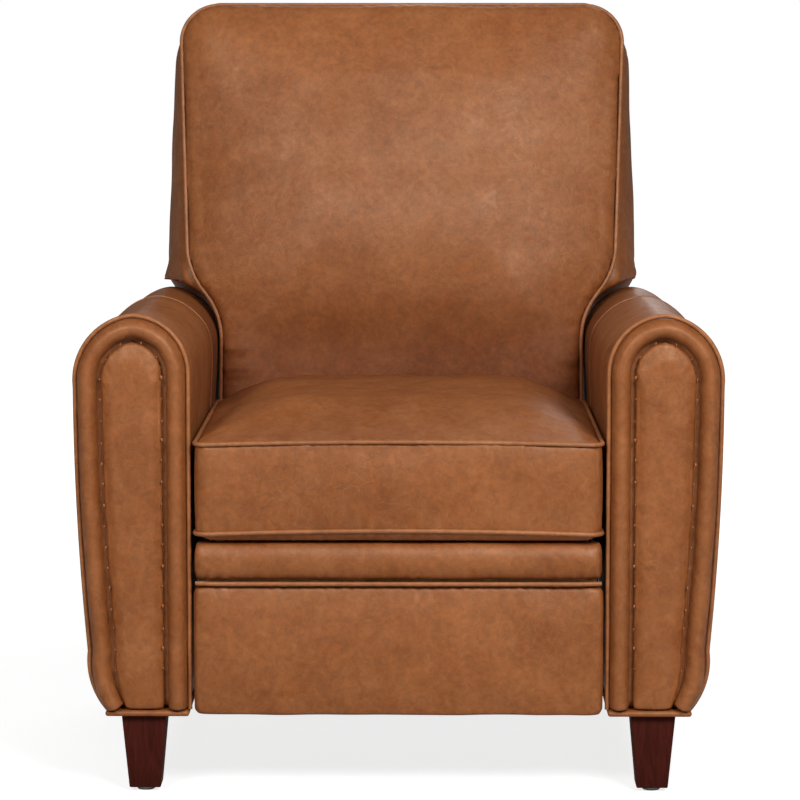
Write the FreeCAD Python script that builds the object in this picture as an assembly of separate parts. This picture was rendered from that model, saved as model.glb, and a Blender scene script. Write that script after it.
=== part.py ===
"""Pushback recliner on high tapered legs.

Frame: millimetres, +Z up, the sitter faces -Y, origin on the floor under the middle of the chair.
Leaning on the back swings its lower end forward, which carries the seat forward on two front swing
links. A stud on each base plate then turns the crank of the footrest linkage. Every loop of that
linkage is a parallelogram, so all links turn in proportion to the back.
"""

import FreeCAD
import Part
import math
import os
from FreeCAD import Placement, Rotation, Vector

# Overall sizes
FRONT_Y = -434.0
REAR_Y = 280.0
FLOOR_GAP = 101.5
COVER_GAP = 0.3
SEAM_GAP = 0.2

# Legs
LEG_X = 325.0
LEG_FRONT_Y = -388.0
LEG_REAR_Y = 232.0
LEG_TOP_SIDE = 57.0
LEG_FOOT_SIDE = 40.0
LEG_REAR_RAKE = 22.0
GLIDE_HEIGHT = 5.0
GLIDE_RADIUS = 13.0
GLIDE_FACE_RADIUS = 11.0
LEG_BOLT_RADIUS = 4.0
LEG_BOLT_Z = (62.0, 142.0)

# Arms, right-hand side
ARM_INNER_X = 262.0
ARM_OUTER_X = 415.0
ARM_CREST_X = 338.0
ARM_TOP_Z = 617.0
ARM_INNER_SPRING_Z = 540.0
ARM_OUTER_SPRING_Z = 522.0
ARM_BELLY = (410.0, 340.0)
ARM_WAIST = (397.0, 185.0)
ARM_ANKLE = (389.0, 132.0)
ARM_HEEL_X = 374.0
ARM_FOOT_Z = 109.0
ARM_FRONT_Y = FRONT_Y + 22.0
ARM_REAR_CORNER = 48.0
ARM_WALL = 16.0
SOLE_X = (276.0, 371.0)
WELT_RADIUS = 3.0
WELT_INSET = 3.9
ROLL_RADIUS = 12.2
ROLL_INSET = 19.4
FACING_INSET = 32.0
FACING_THICKNESS = 13.0

# Back, modelled upright and then leaned
LEAN = 16.0
BACK_ORIGIN = Vector(0, 102.0, 400.0)
BACK_TOP = 630.0
BACK_BOTTOM = -72.0
BACK_TOP_HALF = 319.0
BACK_WIDE_HALF = 307.0
BACK_NARROW_HALF = 256.0
BACK_NOTCH = (181.0, 280.0)
BACK_CORNER = 54.0
BACK_EDGE = 9.0
BACK_DEPTH = 176.0
BACK_WALL = 12.0
SHELL_LOW_HALF = 246.0
SHELL_LOW_BOTTOM = -100.0
SHELL_LOW_TOP = 345.0
WING_MID_DEPTH = 70.0
WING_MID_HALF = (340.0, 331.0)
WING_REAR_HALF = (338.0, 329.0)
WING_LIFT = 8.0
WING_BOTTOM = Vector(0, 165.0, 620.5)
BACK_CROWN = ((-110, 260, 6), (60, 260, 21), (240, 303, 38), (430, 316, 38), (560, 322, 28), (640, 326, 11))

# Seat
SEAT_HALF = 257.6
SEAT_FRONT_Y = FRONT_Y - 7.5
SEAT_REAR_Y = 55.0
SEAT_BOTTOM_Z = 328.6
SEAT_WELT_Z = (338.0, 452.0)
SEAT_CORNER = 18.0
SEAT_FLAT_HALF = 236.0
SEAT_CROWN = ((0.0, 9.0), (0.16, 23.0), (0.5, 32.0), (0.84, 26.0), (1.0, 14.0))
SEAT_FRAME_HALF = 225.0
SEAT_FRAME_Y = (-382.0, 46.0)
SEAT_FRAME_Z = (262.0, 318.0)
RAIL = 32.0
DECK_HALF = 238.0
DECK_Z = (322.8, 327.2)

# Footrest, folded under the seat
FOOT_BACK_Y = -395.0
FOOT_BOARD = 12.0
FOOT_PAD = 33.0
PAD_END = ((1.0, 0.0), (0.985, 0.45), (0.955, 0.75), (0.9, 0.95), (0.82, 1.0))
FOOT_HALF = 260.0
FOOT_Z = (106.0, 270.4)
FOOT_BAND_Z = (277.6, 326.0)
FOOT_WELT_Z = 274.0

# Linkage
RECLINE = 28.0
FOOT_SWING = 92.0
LAYERS = {0: (257.5, 261.5), 1: (251.0, 255.0), 2: (245.0, 249.0), 3: (239.0, 243.0), 4: (233.0, 237.0)}
PIN_RADIUS = 5.0
PIN_PLAY = 0.05
HEAD_RADIUS = 8.5
HEAD_GAP = 0.4
HEAD_THICKNESS = 1.2
SWING_LENGTH = 130.0
SWING_START = 4.0
CRANK_LENGTH = 165.0
CRANK_START = -68.0
BACK_PIVOT = (218.0, 345.0)
SWING_PIVOT = (-92.0, 305.0)
CRANK_PIVOT = (-307.0, 268.0)
FOOT_PIVOT = (-374.0, 230.0)
PARALLEL_OFFSET = 46.0
DRIVE_STUD = (-332.0, 303.5)
SLOT_HALF_WIDTH = 7.0
TUBE_RADIUS = 8.0
TUBE_REACH = 80.0

os.makedirs("parts", exist_ok=True)


# Small helpers
def save(name, shape):
    """Write one node."""
    shape.exportStep("parts/" + name + ".step")


def box(x, y, z):
    """A box from three (low, high) pairs."""
    return Part.makeBox(x[1] - x[0], y[1] - y[0], z[1] - z[0], Vector(x[0], y[0], z[0]))


def rod(y, z, x, radius):
    """A cylinder along X through (y, z)."""
    return Part.makeCylinder(radius, x[1] - x[0], Vector(x[0], y, z), Vector(1, 0, 0))


def mirrored(shape):
    """The same piece on the other side of the chair."""
    return shape.mirror(Vector(0, 0, 0), Vector(1, 0, 0))


def pair(shape):
    """A right-hand piece and its left-hand twin."""
    return Part.makeCompound([shape, mirrored(shape)])


def group(shapes):
    """Separate solids kept in one node."""
    return Part.makeCompound(shapes)


def fused(shapes):
    """One solid from several."""
    return shapes[0].multiFuse(shapes[1:]).removeSplitter() if len(shapes) > 1 else shapes[0]


def largest(shape):
    """The main solid, without slivers."""
    return max(shape.Solids, key=lambda s: s.Volume)


def line(a, b):
    return Part.LineSegment(a, b).toShape()


def arc(a, middle, b):
    return Part.Arc(a, middle, b).toShape()


def tube(path, radius):
    """A round tube along a wire of lines and tangent arcs."""
    start = path.OrderedEdges[0]
    first = start.valueAt(start.FirstParameter)
    way = start.tangentAt(start.FirstParameter)
    if start.Orientation == "Reversed":
        first = start.valueAt(start.LastParameter)
        way = start.tangentAt(start.LastParameter) * -1
    ring = Part.Wire(Part.makeCircle(radius, first, way))
    return Part.Wire(path.OrderedEdges).makePipeShell([ring], True, True)


def prism(edges, way):
    """Extrude a closed run of edges."""
    return Part.Face(Part.Wire(edges)).extrude(way)


def turned(point, degrees):
    """A (y, z) pair turned from +Y towards +Z."""
    a = math.radians(degrees)
    return (
        point[0] * math.cos(a) - point[1] * math.sin(a),
        point[0] * math.sin(a) + point[1] * math.cos(a),
    )


def moved(point, step):
    return (point[0] + step[0], point[1] + step[1])


# Pivots of the linkage, in (y, z)
SWING = turned((0, -SWING_LENGTH), SWING_START)
SEAT_REAR_PIVOT = moved(BACK_PIVOT, SWING)
SEAT_FRONT_PIVOT = moved(SWING_PIVOT, SWING)
CRANK_END = moved(CRANK_PIVOT, turned((CRANK_LENGTH, 0), CRANK_START))
CARRIER = (FOOT_PIVOT[0] - CRANK_END[0], FOOT_PIVOT[1] - CRANK_END[1])
CARRIER_LENGTH = math.hypot(*CARRIER)
IDLER_STEP = tuple(PARALLEL_OFFSET * c / CARRIER_LENGTH for c in CARRIER)
IDLER_PIVOT = moved(CRANK_PIVOT, IDLER_STEP)
IDLER_END = moved(CRANK_END, IDLER_STEP)
CONTROL_START = moved(CRANK_END, (0, PARALLEL_OFFSET))
CONTROL_END = moved(FOOT_PIVOT, (0, PARALLEL_OFFSET))


def capsule(a, b, radius, x):
    """A flat bar with round ends from a to b, filling the x span."""
    ends = [rod(p[0], p[1], x, radius) for p in (a, b)]
    length = math.hypot(b[0] - a[0], b[1] - a[1])
    bar = Part.makeBox(x[1] - x[0], length, 2 * radius, Vector(x[0], 0, -radius))
    turn = math.degrees(math.atan2(b[1] - a[1], b[0] - a[0]))
    bar.Placement = Placement(Vector(0, a[0], a[1]), Rotation(Vector(1, 0, 0), turn)).multiply(bar.Placement)
    return fused([bar] + ends)


def plate(runs, layer, fixed=(), running=()):
    """A steel plate made of bars (start, end, half width), with holes for fixed and running pins."""
    x = LAYERS[layer]
    shape = fused([capsule(a, b, r, x) for a, b, r in runs])
    for p in fixed:
        shape = shape.cut(rod(p[0], p[1], x, PIN_RADIUS))
    for p in running:
        shape = shape.cut(rod(p[0], p[1], x, PIN_RADIUS + PIN_PLAY))
    return shape


def pin(p, root, tip):
    """A riveted pin, fixed in layer root, with its head beyond layer tip."""
    if LAYERS[tip][0] > LAYERS[root][0]:
        face = LAYERS[tip][1] + HEAD_GAP
        shank = (LAYERS[root][0], face + HEAD_THICKNESS)
        head = (face, face + HEAD_THICKNESS)
    else:
        face = LAYERS[tip][0] - HEAD_GAP
        shank = (face - HEAD_THICKNESS, LAYERS[root][1])
        head = (face - HEAD_THICKNESS, face)
    return fused([rod(p[0], p[1], shank, PIN_RADIUS), rod(p[0], p[1], head, HEAD_RADIUS)])


# Legs
def leg(y, rake):
    """A square tapered leg; the foot steps back by the rake."""
    def ring(half, centre_y, z):
        corners = [(-half, -half), (half, -half), (half, half), (-half, half), (-half, -half)]
        return Part.makePolygon([Vector(LEG_X + a, centre_y + b, z) for a, b in corners])

    foot = ring(LEG_FOOT_SIDE / 2, y + rake, GLIDE_HEIGHT)
    top = ring(LEG_TOP_SIDE / 2, y, FLOOR_GAP)
    return Part.makeLoft([foot, top], True, True)


def glide(y):
    """A nylon glide nailed under a leg."""
    return Part.makeCone(GLIDE_FACE_RADIUS, GLIDE_RADIUS, GLIDE_HEIGHT, Vector(LEG_X, y, 0))


def leg_bolt(y):
    low, high = LEG_BOLT_Z
    return Part.makeCylinder(LEG_BOLT_RADIUS, high - low, Vector(LEG_X, y, low))


LEG_PLACES = {"front": (LEG_FRONT_Y, 0.0), "rear": (LEG_REAR_Y, LEG_REAR_RAKE)}
LEG_BOLTS = [leg_bolt(y) for y, _ in LEG_PLACES.values()]
for place, (leg_y, rake) in LEG_PLACES.items():
    wood = leg(leg_y, rake).cut(leg_bolt(leg_y))
    save(place + "_leg_right", wood)
    save(place + "_leg_left", mirrored(wood))
GLIDES = [glide(y + rake) for y, rake in LEG_PLACES.values()]
save("leg_glides", group(GLIDES + [mirrored(g) for g in GLIDES]))
save("leg_bolts", group(LEG_BOLTS + [mirrored(b) for b in LEG_BOLTS]))


# Arms
def arm_edges(inset, y):
    """The arm's front outline, drawn inset, from its inner foot over the crest to its heel."""
    diagonal = math.cos(math.radians(45))
    inner_x = ARM_INNER_X + inset
    outer_x = ARM_OUTER_X - inset
    top_z = ARM_TOP_Z - inset

    def at(x, z):
        return Vector(x, y, z)

    crest = at(ARM_CREST_X, top_z)
    inner_spring = at(inner_x, ARM_INNER_SPRING_Z)
    outer_spring = at(outer_x, ARM_OUTER_SPRING_Z)
    inner_shoulder = at(
        ARM_CREST_X - (ARM_CREST_X - inner_x) * diagonal,
        ARM_INNER_SPRING_Z + (top_z - ARM_INNER_SPRING_Z) * diagonal,
    )
    outer_shoulder = at(
        ARM_CREST_X + (outer_x - ARM_CREST_X) * diagonal,
        ARM_OUTER_SPRING_Z + (top_z - ARM_OUTER_SPRING_Z) * diagonal,
    )
    waist = at(ARM_WAIST[0] - inset, ARM_WAIST[1])
    return [
        line(at(inner_x, ARM_FOOT_Z), inner_spring),
        arc(inner_spring, inner_shoulder, crest),
        arc(crest, outer_shoulder, outer_spring),
        arc(outer_spring, at(ARM_BELLY[0] - inset, ARM_BELLY[1]), waist),
        arc(waist, at(ARM_ANKLE[0] - 0.92 * inset, ARM_ANKLE[1]), at(ARM_HEEL_X - 0.72 * inset, ARM_FOOT_Z)),
    ]


def arm_block(inset, y, rear_corner, rear_y):
    """The arm outline run back to rear_y, with its upper rear corner rounded."""
    edges = arm_edges(inset, y)
    foot = line(edges[-1].Vertexes[-1].Point, edges[0].Vertexes[0].Point)
    block = prism(edges + [foot], Vector(0, rear_y - y, 0))
    low_z, high_z = ARM_FOOT_Z - 20, ARM_TOP_Z - inset
    diagonal = rear_corner * (1 - math.cos(math.radians(45)))
    side = [
        Vector(0, y, low_z),
        Vector(0, y, high_z + 20),
        Vector(0, rear_y - rear_corner, high_z + 20),
        Vector(0, rear_y - rear_corner, high_z),
        Vector(0, rear_y, high_z - rear_corner),
        Vector(0, rear_y, low_z),
    ]
    outline = [line(side[i], side[i + 1]) for i in range(3)]
    outline.append(arc(side[3], Vector(0, rear_y - diagonal, high_z - diagonal), side[4]))
    outline += [line(side[4], side[5]), line(side[5], side[0])]
    return block.common(prism(outline, Vector(ARM_OUTER_X + 20, 0, 0)))


def arm_frame():
    """Glued hardwood frame inside the arm, with a cleat for the mechanism."""
    x = (282.0, 372.0)
    front = (ARM_FRONT_Y + ARM_WALL + 1, ARM_FRONT_Y + ARM_WALL + 27)
    rear = (206.0, 232.0)
    sole_z = ARM_FOOT_Z + COVER_GAP
    posts = [box((x[0], 362.0), y, (sole_z, 540.0)) for y in (front, rear)]
    top = box((308.0, 360.0), (front[0], rear[1]), (540.0, 572.0))
    bottom = box((x[0], 352.0), (front[0], 260.0), (sole_z, 150.0))
    cleat = box((279.0, 297.0), (front[1], rear[0]), (275.0, 332.0))
    return fused(posts + [top, bottom, cleat])


def arm_front(path_inset, y, radius):
    """A round tube along the arm's front outline."""
    return tube(Part.Wire(arm_edges(path_inset, y)), radius)


BASE_BOLT_PLACES = [(-272.0, 303.0), (-182.0, 303.0), (38.0, 303.0), (112.0, 307.0)]
BASE_BOLTS = [rod(y, z, (LAYERS[0][0], 292.0), 4.0) for y, z in BASE_BOLT_PLACES]
BASE_BOLT_HEADS = [
    rod(y, z, (LAYERS[0][0] - HEAD_THICKNESS, LAYERS[0][0]), HEAD_RADIUS) for y, z in BASE_BOLT_PLACES
]
STRETCHER_BOLTS = [rod(y, 128.0, (232.0, 300.0), 4.0) for y in (-162.0, 266.0)]


def make_arms():
    pad = arm_block(0, ARM_FRONT_Y, ARM_REAR_CORNER, REAR_Y)
    hollow = arm_block(ARM_WALL, ARM_FRONT_Y + ARM_WALL, ARM_REAR_CORNER, REAR_Y - ARM_WALL)
    pad = pad.cut(hollow)
    frame = arm_frame()
    for bolt in BASE_BOLTS + STRETCHER_BOLTS:
        pad = pad.cut(bolt)
        frame = frame.cut(bolt)
    for bolt in LEG_BOLTS:
        frame = frame.cut(bolt)
    sole = box(SOLE_X, (ARM_FRONT_Y - 14, REAR_Y - 6), (FLOOR_GAP, ARM_FOOT_Z - COVER_GAP))
    for bolt in LEG_BOLTS:
        sole = sole.cut(bolt)
    ahead = box(
        (ARM_INNER_X - 20, ARM_OUTER_X + 20),
        (FRONT_Y - 40, ARM_FRONT_Y - COVER_GAP),
        (ARM_FOOT_Z, ARM_TOP_Z + 20),
    )
    roll_y = FRONT_Y + ROLL_RADIUS
    welt_y = ARM_FRONT_Y - WELT_RADIUS - COVER_GAP
    welt = arm_front(WELT_INSET, welt_y, WELT_RADIUS).common(ahead)
    roll = arm_front(ROLL_INSET, roll_y, ROLL_RADIUS).common(ahead)
    roll = roll.cut(arm_front(WELT_INSET, welt_y, WELT_RADIUS + SEAM_GAP))
    facing_edges = arm_edges(FACING_INSET, ARM_FRONT_Y - COVER_GAP)
    foot = line(facing_edges[-1].Vertexes[-1].Point, facing_edges[0].Vertexes[0].Point)
    facing = prism(facing_edges + [foot], Vector(0, -FACING_THICKNESS, 0))
    facing = largest(facing.cut(arm_front(ROLL_INSET, roll_y, ROLL_RADIUS + SEAM_GAP)))
    pieces = {
        "arm_pad": pad,
        "arm_frame": frame,
        "arm_sole": sole,
        "arm_border": roll,
        "arm_welt": welt,
        "arm_facing": facing,
    }
    for name, shape in pieces.items():
        save(name + "_right", shape)
        save(name + "_left", mirrored(shape))


make_arms()


# Rails between the arms
def make_base():
    reach = (-ARM_INNER_X + COVER_GAP, ARM_INNER_X - COVER_GAP)
    stretcher = box(reach, (-182.0, -142.0), (106.0, 150.0))
    rear_rail = box(reach, (256.0, 276.0), (106.0, 214.0))
    for bolt in STRETCHER_BOLTS:
        for side in (bolt, mirrored(bolt)):
            stretcher = stretcher.cut(side)
            rear_rail = rear_rail.cut(side)
    save("front_stretcher", stretcher)
    save("rear_rail", rear_rail)
    save("stretcher_bolts", group(STRETCHER_BOLTS + [mirrored(b) for b in STRETCHER_BOLTS]))

    rail = plate(
        [((-344.0, 303.0), (101.0, 303.0), 18.0), ((101.0, 303.0), BACK_PIVOT, 20.0)],
        0,
        fixed=[BACK_PIVOT, SWING_PIVOT, DRIVE_STUD],
    )
    for bolt in BASE_BOLTS:
        rail = rail.cut(bolt)
    save("base_plates", pair(rail))
    bolts = [fused([b, h]) for b, h in zip(BASE_BOLTS, BASE_BOLT_HEADS)]
    save("base_plate_bolts", group(bolts + [mirrored(b) for b in bolts]))
    stud = rod(*DRIVE_STUD, (LAYERS[2][0] - 1, LAYERS[0][1]), PIN_RADIUS)
    pivots = [pin(BACK_PIVOT, 0, 1), pin(SWING_PIVOT, 0, 1), stud]
    save("base_pivots", group(pivots + [mirrored(p) for p in pivots]))


make_base()


# Back
def lean(shape):
    """Take a piece of the upright back to its place."""
    done = shape.copy()
    done.Placement = Placement(BACK_ORIGIN, Rotation(Vector(1, 0, 0), -LEAN)).multiply(done.Placement)
    return done


def back_side(grow, y):
    """The cushion's right edge from its foot to the middle of its top, grown by grow."""
    narrow, wide, top = (h + grow for h in (BACK_NARROW_HALF, BACK_WIDE_HALF, BACK_TOP_HALF))
    low, high = BACK_NOTCH
    half_run, half_rise = (wide - narrow) / 2, (high - low) / 2
    radius = (half_run**2 + half_rise**2) / (2 * half_run)
    half_turn = math.asin(half_rise / radius) / 2
    bulge = radius * (1 - math.cos(half_turn))
    climb = radius * math.sin(half_turn)
    corner = BACK_CORNER + grow
    top_z = BACK_TOP + grow
    diagonal = corner * (1 - math.cos(math.radians(45)))

    def at(x, z):
        return Vector(x, y, z)

    middle = at((narrow + wide) / 2, (low + high) / 2)
    shoulder = at(top, top_z - corner)
    return [
        line(at(narrow, BACK_BOTTOM), at(narrow, low)),
        arc(at(narrow, low), at(narrow + bulge, low + climb), middle),
        arc(middle, at(wide - bulge, high - climb), at(wide, high)),
        line(at(wide, high), shoulder),
        arc(shoulder, at(top - diagonal, top_z - diagonal), at(top - corner, top_z)),
        line(at(top - corner, top_z), at(0, top_z)),
    ]


def back_outline(grow, y):
    """The whole edge of the cushion, from one foot over the top to the other."""
    right = back_side(grow, y)
    left = [mirrored(e) for e in reversed(right)]
    return right + left


def back_cushion():
    """Crowned front cushion, narrow between the arms and wide above them."""
    edges = back_outline(0, 0)
    foot = line(Vector(-BACK_NARROW_HALF, 0, BACK_BOTTOM), Vector(BACK_NARROW_HALF, 0, BACK_BOTTOM))
    blank = prism(edges + [foot], Vector(0, -80, 0))
    rings = []
    for z, half, crown in BACK_CROWN:
        a, b = Vector(-half, -BACK_EDGE, z), Vector(half, -BACK_EDGE, z)
        rings.append(
            Part.Wire(
                [
                    line(Vector(-half, 5, z), Vector(half, 5, z)),
                    line(Vector(half, 5, z), b),
                    arc(b, Vector(0, -BACK_EDGE - crown, z), a),
                    line(a, Vector(-half, 5, z)),
                ]
            )
        )
    return blank.common(Part.makeLoft(rings, True, False))


def wing_ring(bottom_half, top_half, y, inset, bottom_z):
    """The outline of the wide upper part of the back at depth y."""
    low, high = bottom_half - inset, top_half - inset
    corner = BACK_CORNER - inset / 2
    top_z = BACK_TOP - 1 - inset
    diagonal = corner * (1 - math.cos(math.radians(45)))

    def at(x, z):
        return Vector(x, y, z)

    right = [
        line(at(low, bottom_z), at(high, top_z - corner)),
        arc(at(high, top_z - corner), at(high - diagonal, top_z - diagonal), at(high - corner, top_z)),
    ]
    top = line(at(high - corner, top_z), at(corner - high, top_z))
    left = [mirrored(e) for e in reversed(right)]
    return Part.Wire(right + [top] + left + [line(at(-low, bottom_z), at(low, bottom_z))])


def wing_body(inset, ahead):
    """The wide upper part of the back, drawn inset, above the slope of the wings' lower edge."""
    widths = [
        (COVER_GAP - ahead, (BACK_WIDE_HALF + 4, BACK_TOP_HALF + 3)),
        (WING_MID_DEPTH, WING_MID_HALF),
        (BACK_DEPTH - inset, WING_REAR_HALF),
    ]
    rings = [wing_ring(low, high, y, inset, BACK_NOTCH[0]) for y, (low, high) in widths]
    under = box((-400, 400), (-200, 600), (-400, 0))
    under.Placement = Placement(WING_BOTTOM + Vector(0, 0, inset), Rotation(Vector(1, 0, 0), WING_LIFT))
    return lean(Part.makeLoft(rings, True, True)).cut(under)


def low_body(inset, ahead, top):
    """The narrow lower part of the back, between the arms."""
    half = SHELL_LOW_HALF - inset
    return lean(box((-half, half), (COVER_GAP - ahead, BACK_DEPTH - inset), (SHELL_LOW_BOTTOM + inset, top)))


def back_shell():
    """The back's sides, top and rear as one hollow shell, open to the cushion in front."""
    shell = wing_body(0, 0).fuse(low_body(0, 0, SHELL_LOW_TOP))
    shell = shell.cut(wing_body(BACK_WALL, 1)).cut(low_body(BACK_WALL, 1, SHELL_LOW_TOP + 30))
    return shell.removeSplitter()


STILE_Y = (84.0, 122.0)
BRACKET_TOP = (170.0, 104.0)
BRACKET_BOLT_PLACES = [(40.0, 110.0), (105.0, 107.0), (165.0, 104.0)]


def back_point(z, y):
    """(y, z) in the chair of a point of the upright back."""
    a = math.radians(LEAN)
    return (
        BACK_ORIGIN.y + z * math.sin(a) + y * math.cos(a),
        BACK_ORIGIN.z + z * math.cos(a) - y * math.sin(a),
    )


def back_frame():
    """Hardwood ladder frame: two long stiles, two wing posts and four rails."""
    stiles = [box((196, 232), STILE_Y, (-86, 596))]
    posts = [box((262, 294), STILE_Y, (308, 560))]
    rails = [
        box((-198, 198), STILE_Y, (-86, -44)),
        box((-264, 264), STILE_Y, (308, 348)),
        box((-264, 264), STILE_Y, (518, 560)),
        box((-198, 198), STILE_Y, (120, 160)),
    ]
    sides = stiles + posts
    return fused(sides + [mirrored(s) for s in sides] + rails)


def zigzag(start, along, across, pitch, turns, half_width):
    """The path of a sinuous spring: straight runs joined by half circles."""
    radius = pitch / 2
    edges = []
    for i in range(turns):
        side = 1 if i % 2 == 0 else -1
        a = start + along * (i * pitch) - across * (side * half_width)
        b = start + along * (i * pitch) + across * (side * half_width)
        edges.append(line(a, b))
        if i < turns - 1:
            c = b + along * pitch
            edges.append(arc(b, b + along * radius + across * (side * radius), c))
    return Part.Wire(edges)


SPRING_WIRE = 1.8
SPRING_HALF = 14.0
CLIP = 9.0
CLIP_THICKNESS = 4.2


def spring_clip(point, along, across, up):
    """A steel clip that holds the end run of a sinuous spring."""
    block = Part.makeBox(2 * CLIP, 2 * CLIP, CLIP_THICKNESS, Vector(-CLIP, -CLIP, -CLIP_THICKNESS / 2))
    block.Placement = Placement(point, Rotation(across, along, up, "XYZ"))
    return block


def springs(starts, along, across, up, pitch, turns):
    """Sinuous springs side by side, and the clips on their end runs."""
    wires = [tube(zigzag(s, along, across, pitch, turns, SPRING_HALF), SPRING_WIRE) for s in starts]
    clips = []
    for start, wire in zip(starts, wires):
        for step in (0, (turns - 1) * pitch):
            clip = spring_clip(start + along * step, along, across, up)
            clips.append(clip.cut(wire))
    return group(wires), group(clips)


def make_back():
    shell = back_shell()
    frame = lean(back_frame())
    bolts = []
    for z, y in BRACKET_BOLT_PLACES:
        p = back_point(z, y)
        shank = rod(*p, (206.0, LAYERS[1][1]), 4.0)
        head = rod(*p, (LAYERS[1][1], LAYERS[1][1] + HEAD_THICKNESS), HEAD_RADIUS)
        bolts.append(fused([shank, head]))
    bracket = plate(
        [(SEAT_REAR_PIVOT, BACK_PIVOT, 15.0), (BACK_PIVOT, back_point(*BRACKET_TOP), 15.0)],
        1,
        running=[SEAT_REAR_PIVOT, BACK_PIVOT],
    )
    for bolt in bolts:
        bracket = bracket.cut(bolt)
        for side in (bolt, mirrored(bolt)):
            shell = shell.cut(side)
            frame = frame.cut(side)
    welt_path = Part.Wire(back_outline(1.0, -4.0))
    save("back_cushion", lean(back_cushion().cut(tube(welt_path, WELT_RADIUS + 0.25))))
    save("back_welt", lean(tube(welt_path, WELT_RADIUS)))
    save("back_shell", shell)
    save("back_frame", frame)
    save("back_brackets", pair(bracket))
    save("back_bracket_bolts", group(bolts + [mirrored(b) for b in bolts]))
    starts = [Vector(x, STILE_Y[0] - 6, -64) for x in (-135, -45, 45, 135)]
    wires, clips = springs(starts, Vector(0, 0, 1), Vector(1, 0, 0), Vector(0, 1, 0), 30.2, 21)
    save("back_springs", lean(wires))
    save("back_spring_clips", lean(clips))


make_back()


# Seat
def seat_loop(z, grow=0.0):
    """A welt's path round the seat cushion, with its join at the middle of the rear."""
    half, front, rear = SEAT_HALF + grow, SEAT_FRONT_Y - grow, SEAT_REAR_Y + grow
    r = SEAT_CORNER + grow
    d = r * (1 - math.cos(math.radians(45)))

    def at(x, y):
        return Vector(x, y, z)

    right = [
        line(at(1, rear), at(half - r, rear)),
        arc(at(half - r, rear), at(half - d, rear - d), at(half, rear - r)),
        line(at(half, rear - r), at(half, front + r)),
        arc(at(half, front + r), at(half - d, front + d), at(half - r, front)),
        line(at(half - r, front), at(0, front)),
    ]
    return right + [mirrored(e) for e in reversed(right)]


def seat_ring(y, crown):
    """The cushion's section at y: flat sole, drawn-in lower edge, upright boxing and crowned top."""
    half, (low, high) = SEAT_HALF, SEAT_WELT_Z

    def at(x, z):
        return Vector(x, y, z)

    toe = (SEAT_FLAT_HALF + half) / 2 + 4
    right = [
        arc(at(SEAT_FLAT_HALF, SEAT_BOTTOM_Z), at(toe, SEAT_BOTTOM_Z + 2.4), at(half, low)),
        arc(at(half, low), at(half + 0.8, (low + high) / 2), at(half, high)),
    ]
    top = arc(at(half, high), at(0, high + crown), at(-half, high))
    left = [mirrored(e) for e in reversed(right)]
    sole = line(at(-SEAT_FLAT_HALF, SEAT_BOTTOM_Z), at(SEAT_FLAT_HALF, SEAT_BOTTOM_Z))
    return Part.Wire(right + [top] + left + [sole])


def seat_cushion():
    depth = SEAT_REAR_Y - SEAT_FRONT_Y
    rings = [seat_ring(SEAT_FRONT_Y + share * depth, crown) for share, crown in SEAT_CROWN]
    body = Part.makeLoft(rings, True, False)
    edges = seat_loop(SEAT_BOTTOM_Z - 10, 1.6)
    start = edges[0].Vertexes[0].Point
    join = line(Vector(-start.x, start.y, start.z), start)
    return body.common(prism(edges + [join], Vector(0, 0, 220)))


def make_seat():
    cushion = seat_cushion()
    for name, z in zip(("seat_welt_lower", "seat_welt_upper"), SEAT_WELT_Z):
        path = Part.Wire(seat_loop(z))
        cushion = cushion.cut(tube(path, WELT_RADIUS + 0.2))
        save(name, tube(path, WELT_RADIUS))
    save("seat_cushion", largest(cushion))
    save("seat_deck", box((-DECK_HALF, DECK_HALF), (FOOT_BACK_Y + 4, SEAT_REAR_Y - 2), DECK_Z))

    half, (y0, y1), z = SEAT_FRAME_HALF, SEAT_FRAME_Y, SEAT_FRAME_Z
    frame = box((-half, half), (y0, y1), z).cut(
        box((-half + RAIL, half - RAIL), (y0 + RAIL, y1 - RAIL), (z[0] - 1, z[1] + 1))
    )
    bolts = []
    for y in (-162.0, -60.0, 26.0):
        shank = rod(y, 298.0, (half - 24, LAYERS[3][1]), 4.0)
        spacer = rod(y, 298.0, (half, LAYERS[3][0]), HEAD_RADIUS)
        bolts.append(fused([shank, spacer]))
    side = plate(
        [
            (IDLER_PIVOT, (-232.0, 300.0), 14.0),
            (CRANK_PIVOT, (-232.0, 300.0), 14.0),
            ((-232.0, 299.0), (30.0, 299.0), 18.0),
            (SEAT_FRONT_PIVOT, (SEAT_FRONT_PIVOT[0], 299.0), 14.0),
            ((30.0, 296.0), (64.0, 232.0), 14.0),
            ((64.0, 232.0), SEAT_REAR_PIVOT, 14.0),
        ],
        3,
        fixed=[IDLER_PIVOT, CRANK_PIVOT, SEAT_FRONT_PIVOT, SEAT_REAR_PIVOT],
    )
    for bolt in bolts:
        side = side.cut(bolt)
        for b in (bolt, mirrored(bolt)):
            frame = frame.cut(b)
    save("seat_frame", frame)
    save("seat_plates", pair(side))
    save("seat_plate_bolts", group(bolts + [mirrored(b) for b in bolts]))
    pivots = [
        pin(CRANK_PIVOT, 3, 2),
        pin(IDLER_PIVOT, 3, 4),
        pin(SEAT_FRONT_PIVOT, 3, 1),
        pin(SEAT_REAR_PIVOT, 3, 1),
    ]
    save("seat_pivots", group(pivots + [mirrored(p) for p in pivots]))
    starts = [Vector(x, y0 + 16, z[1] + 2.2) for x in (-150, -75, 0, 75, 150)]
    wires, clips = springs(starts, Vector(0, 1, 0), Vector(1, 0, 0), Vector(0, 0, 1), 28.2, 15)
    save("seat_springs", wires)
    save("seat_spring_clips", clips)


make_seat()


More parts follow.
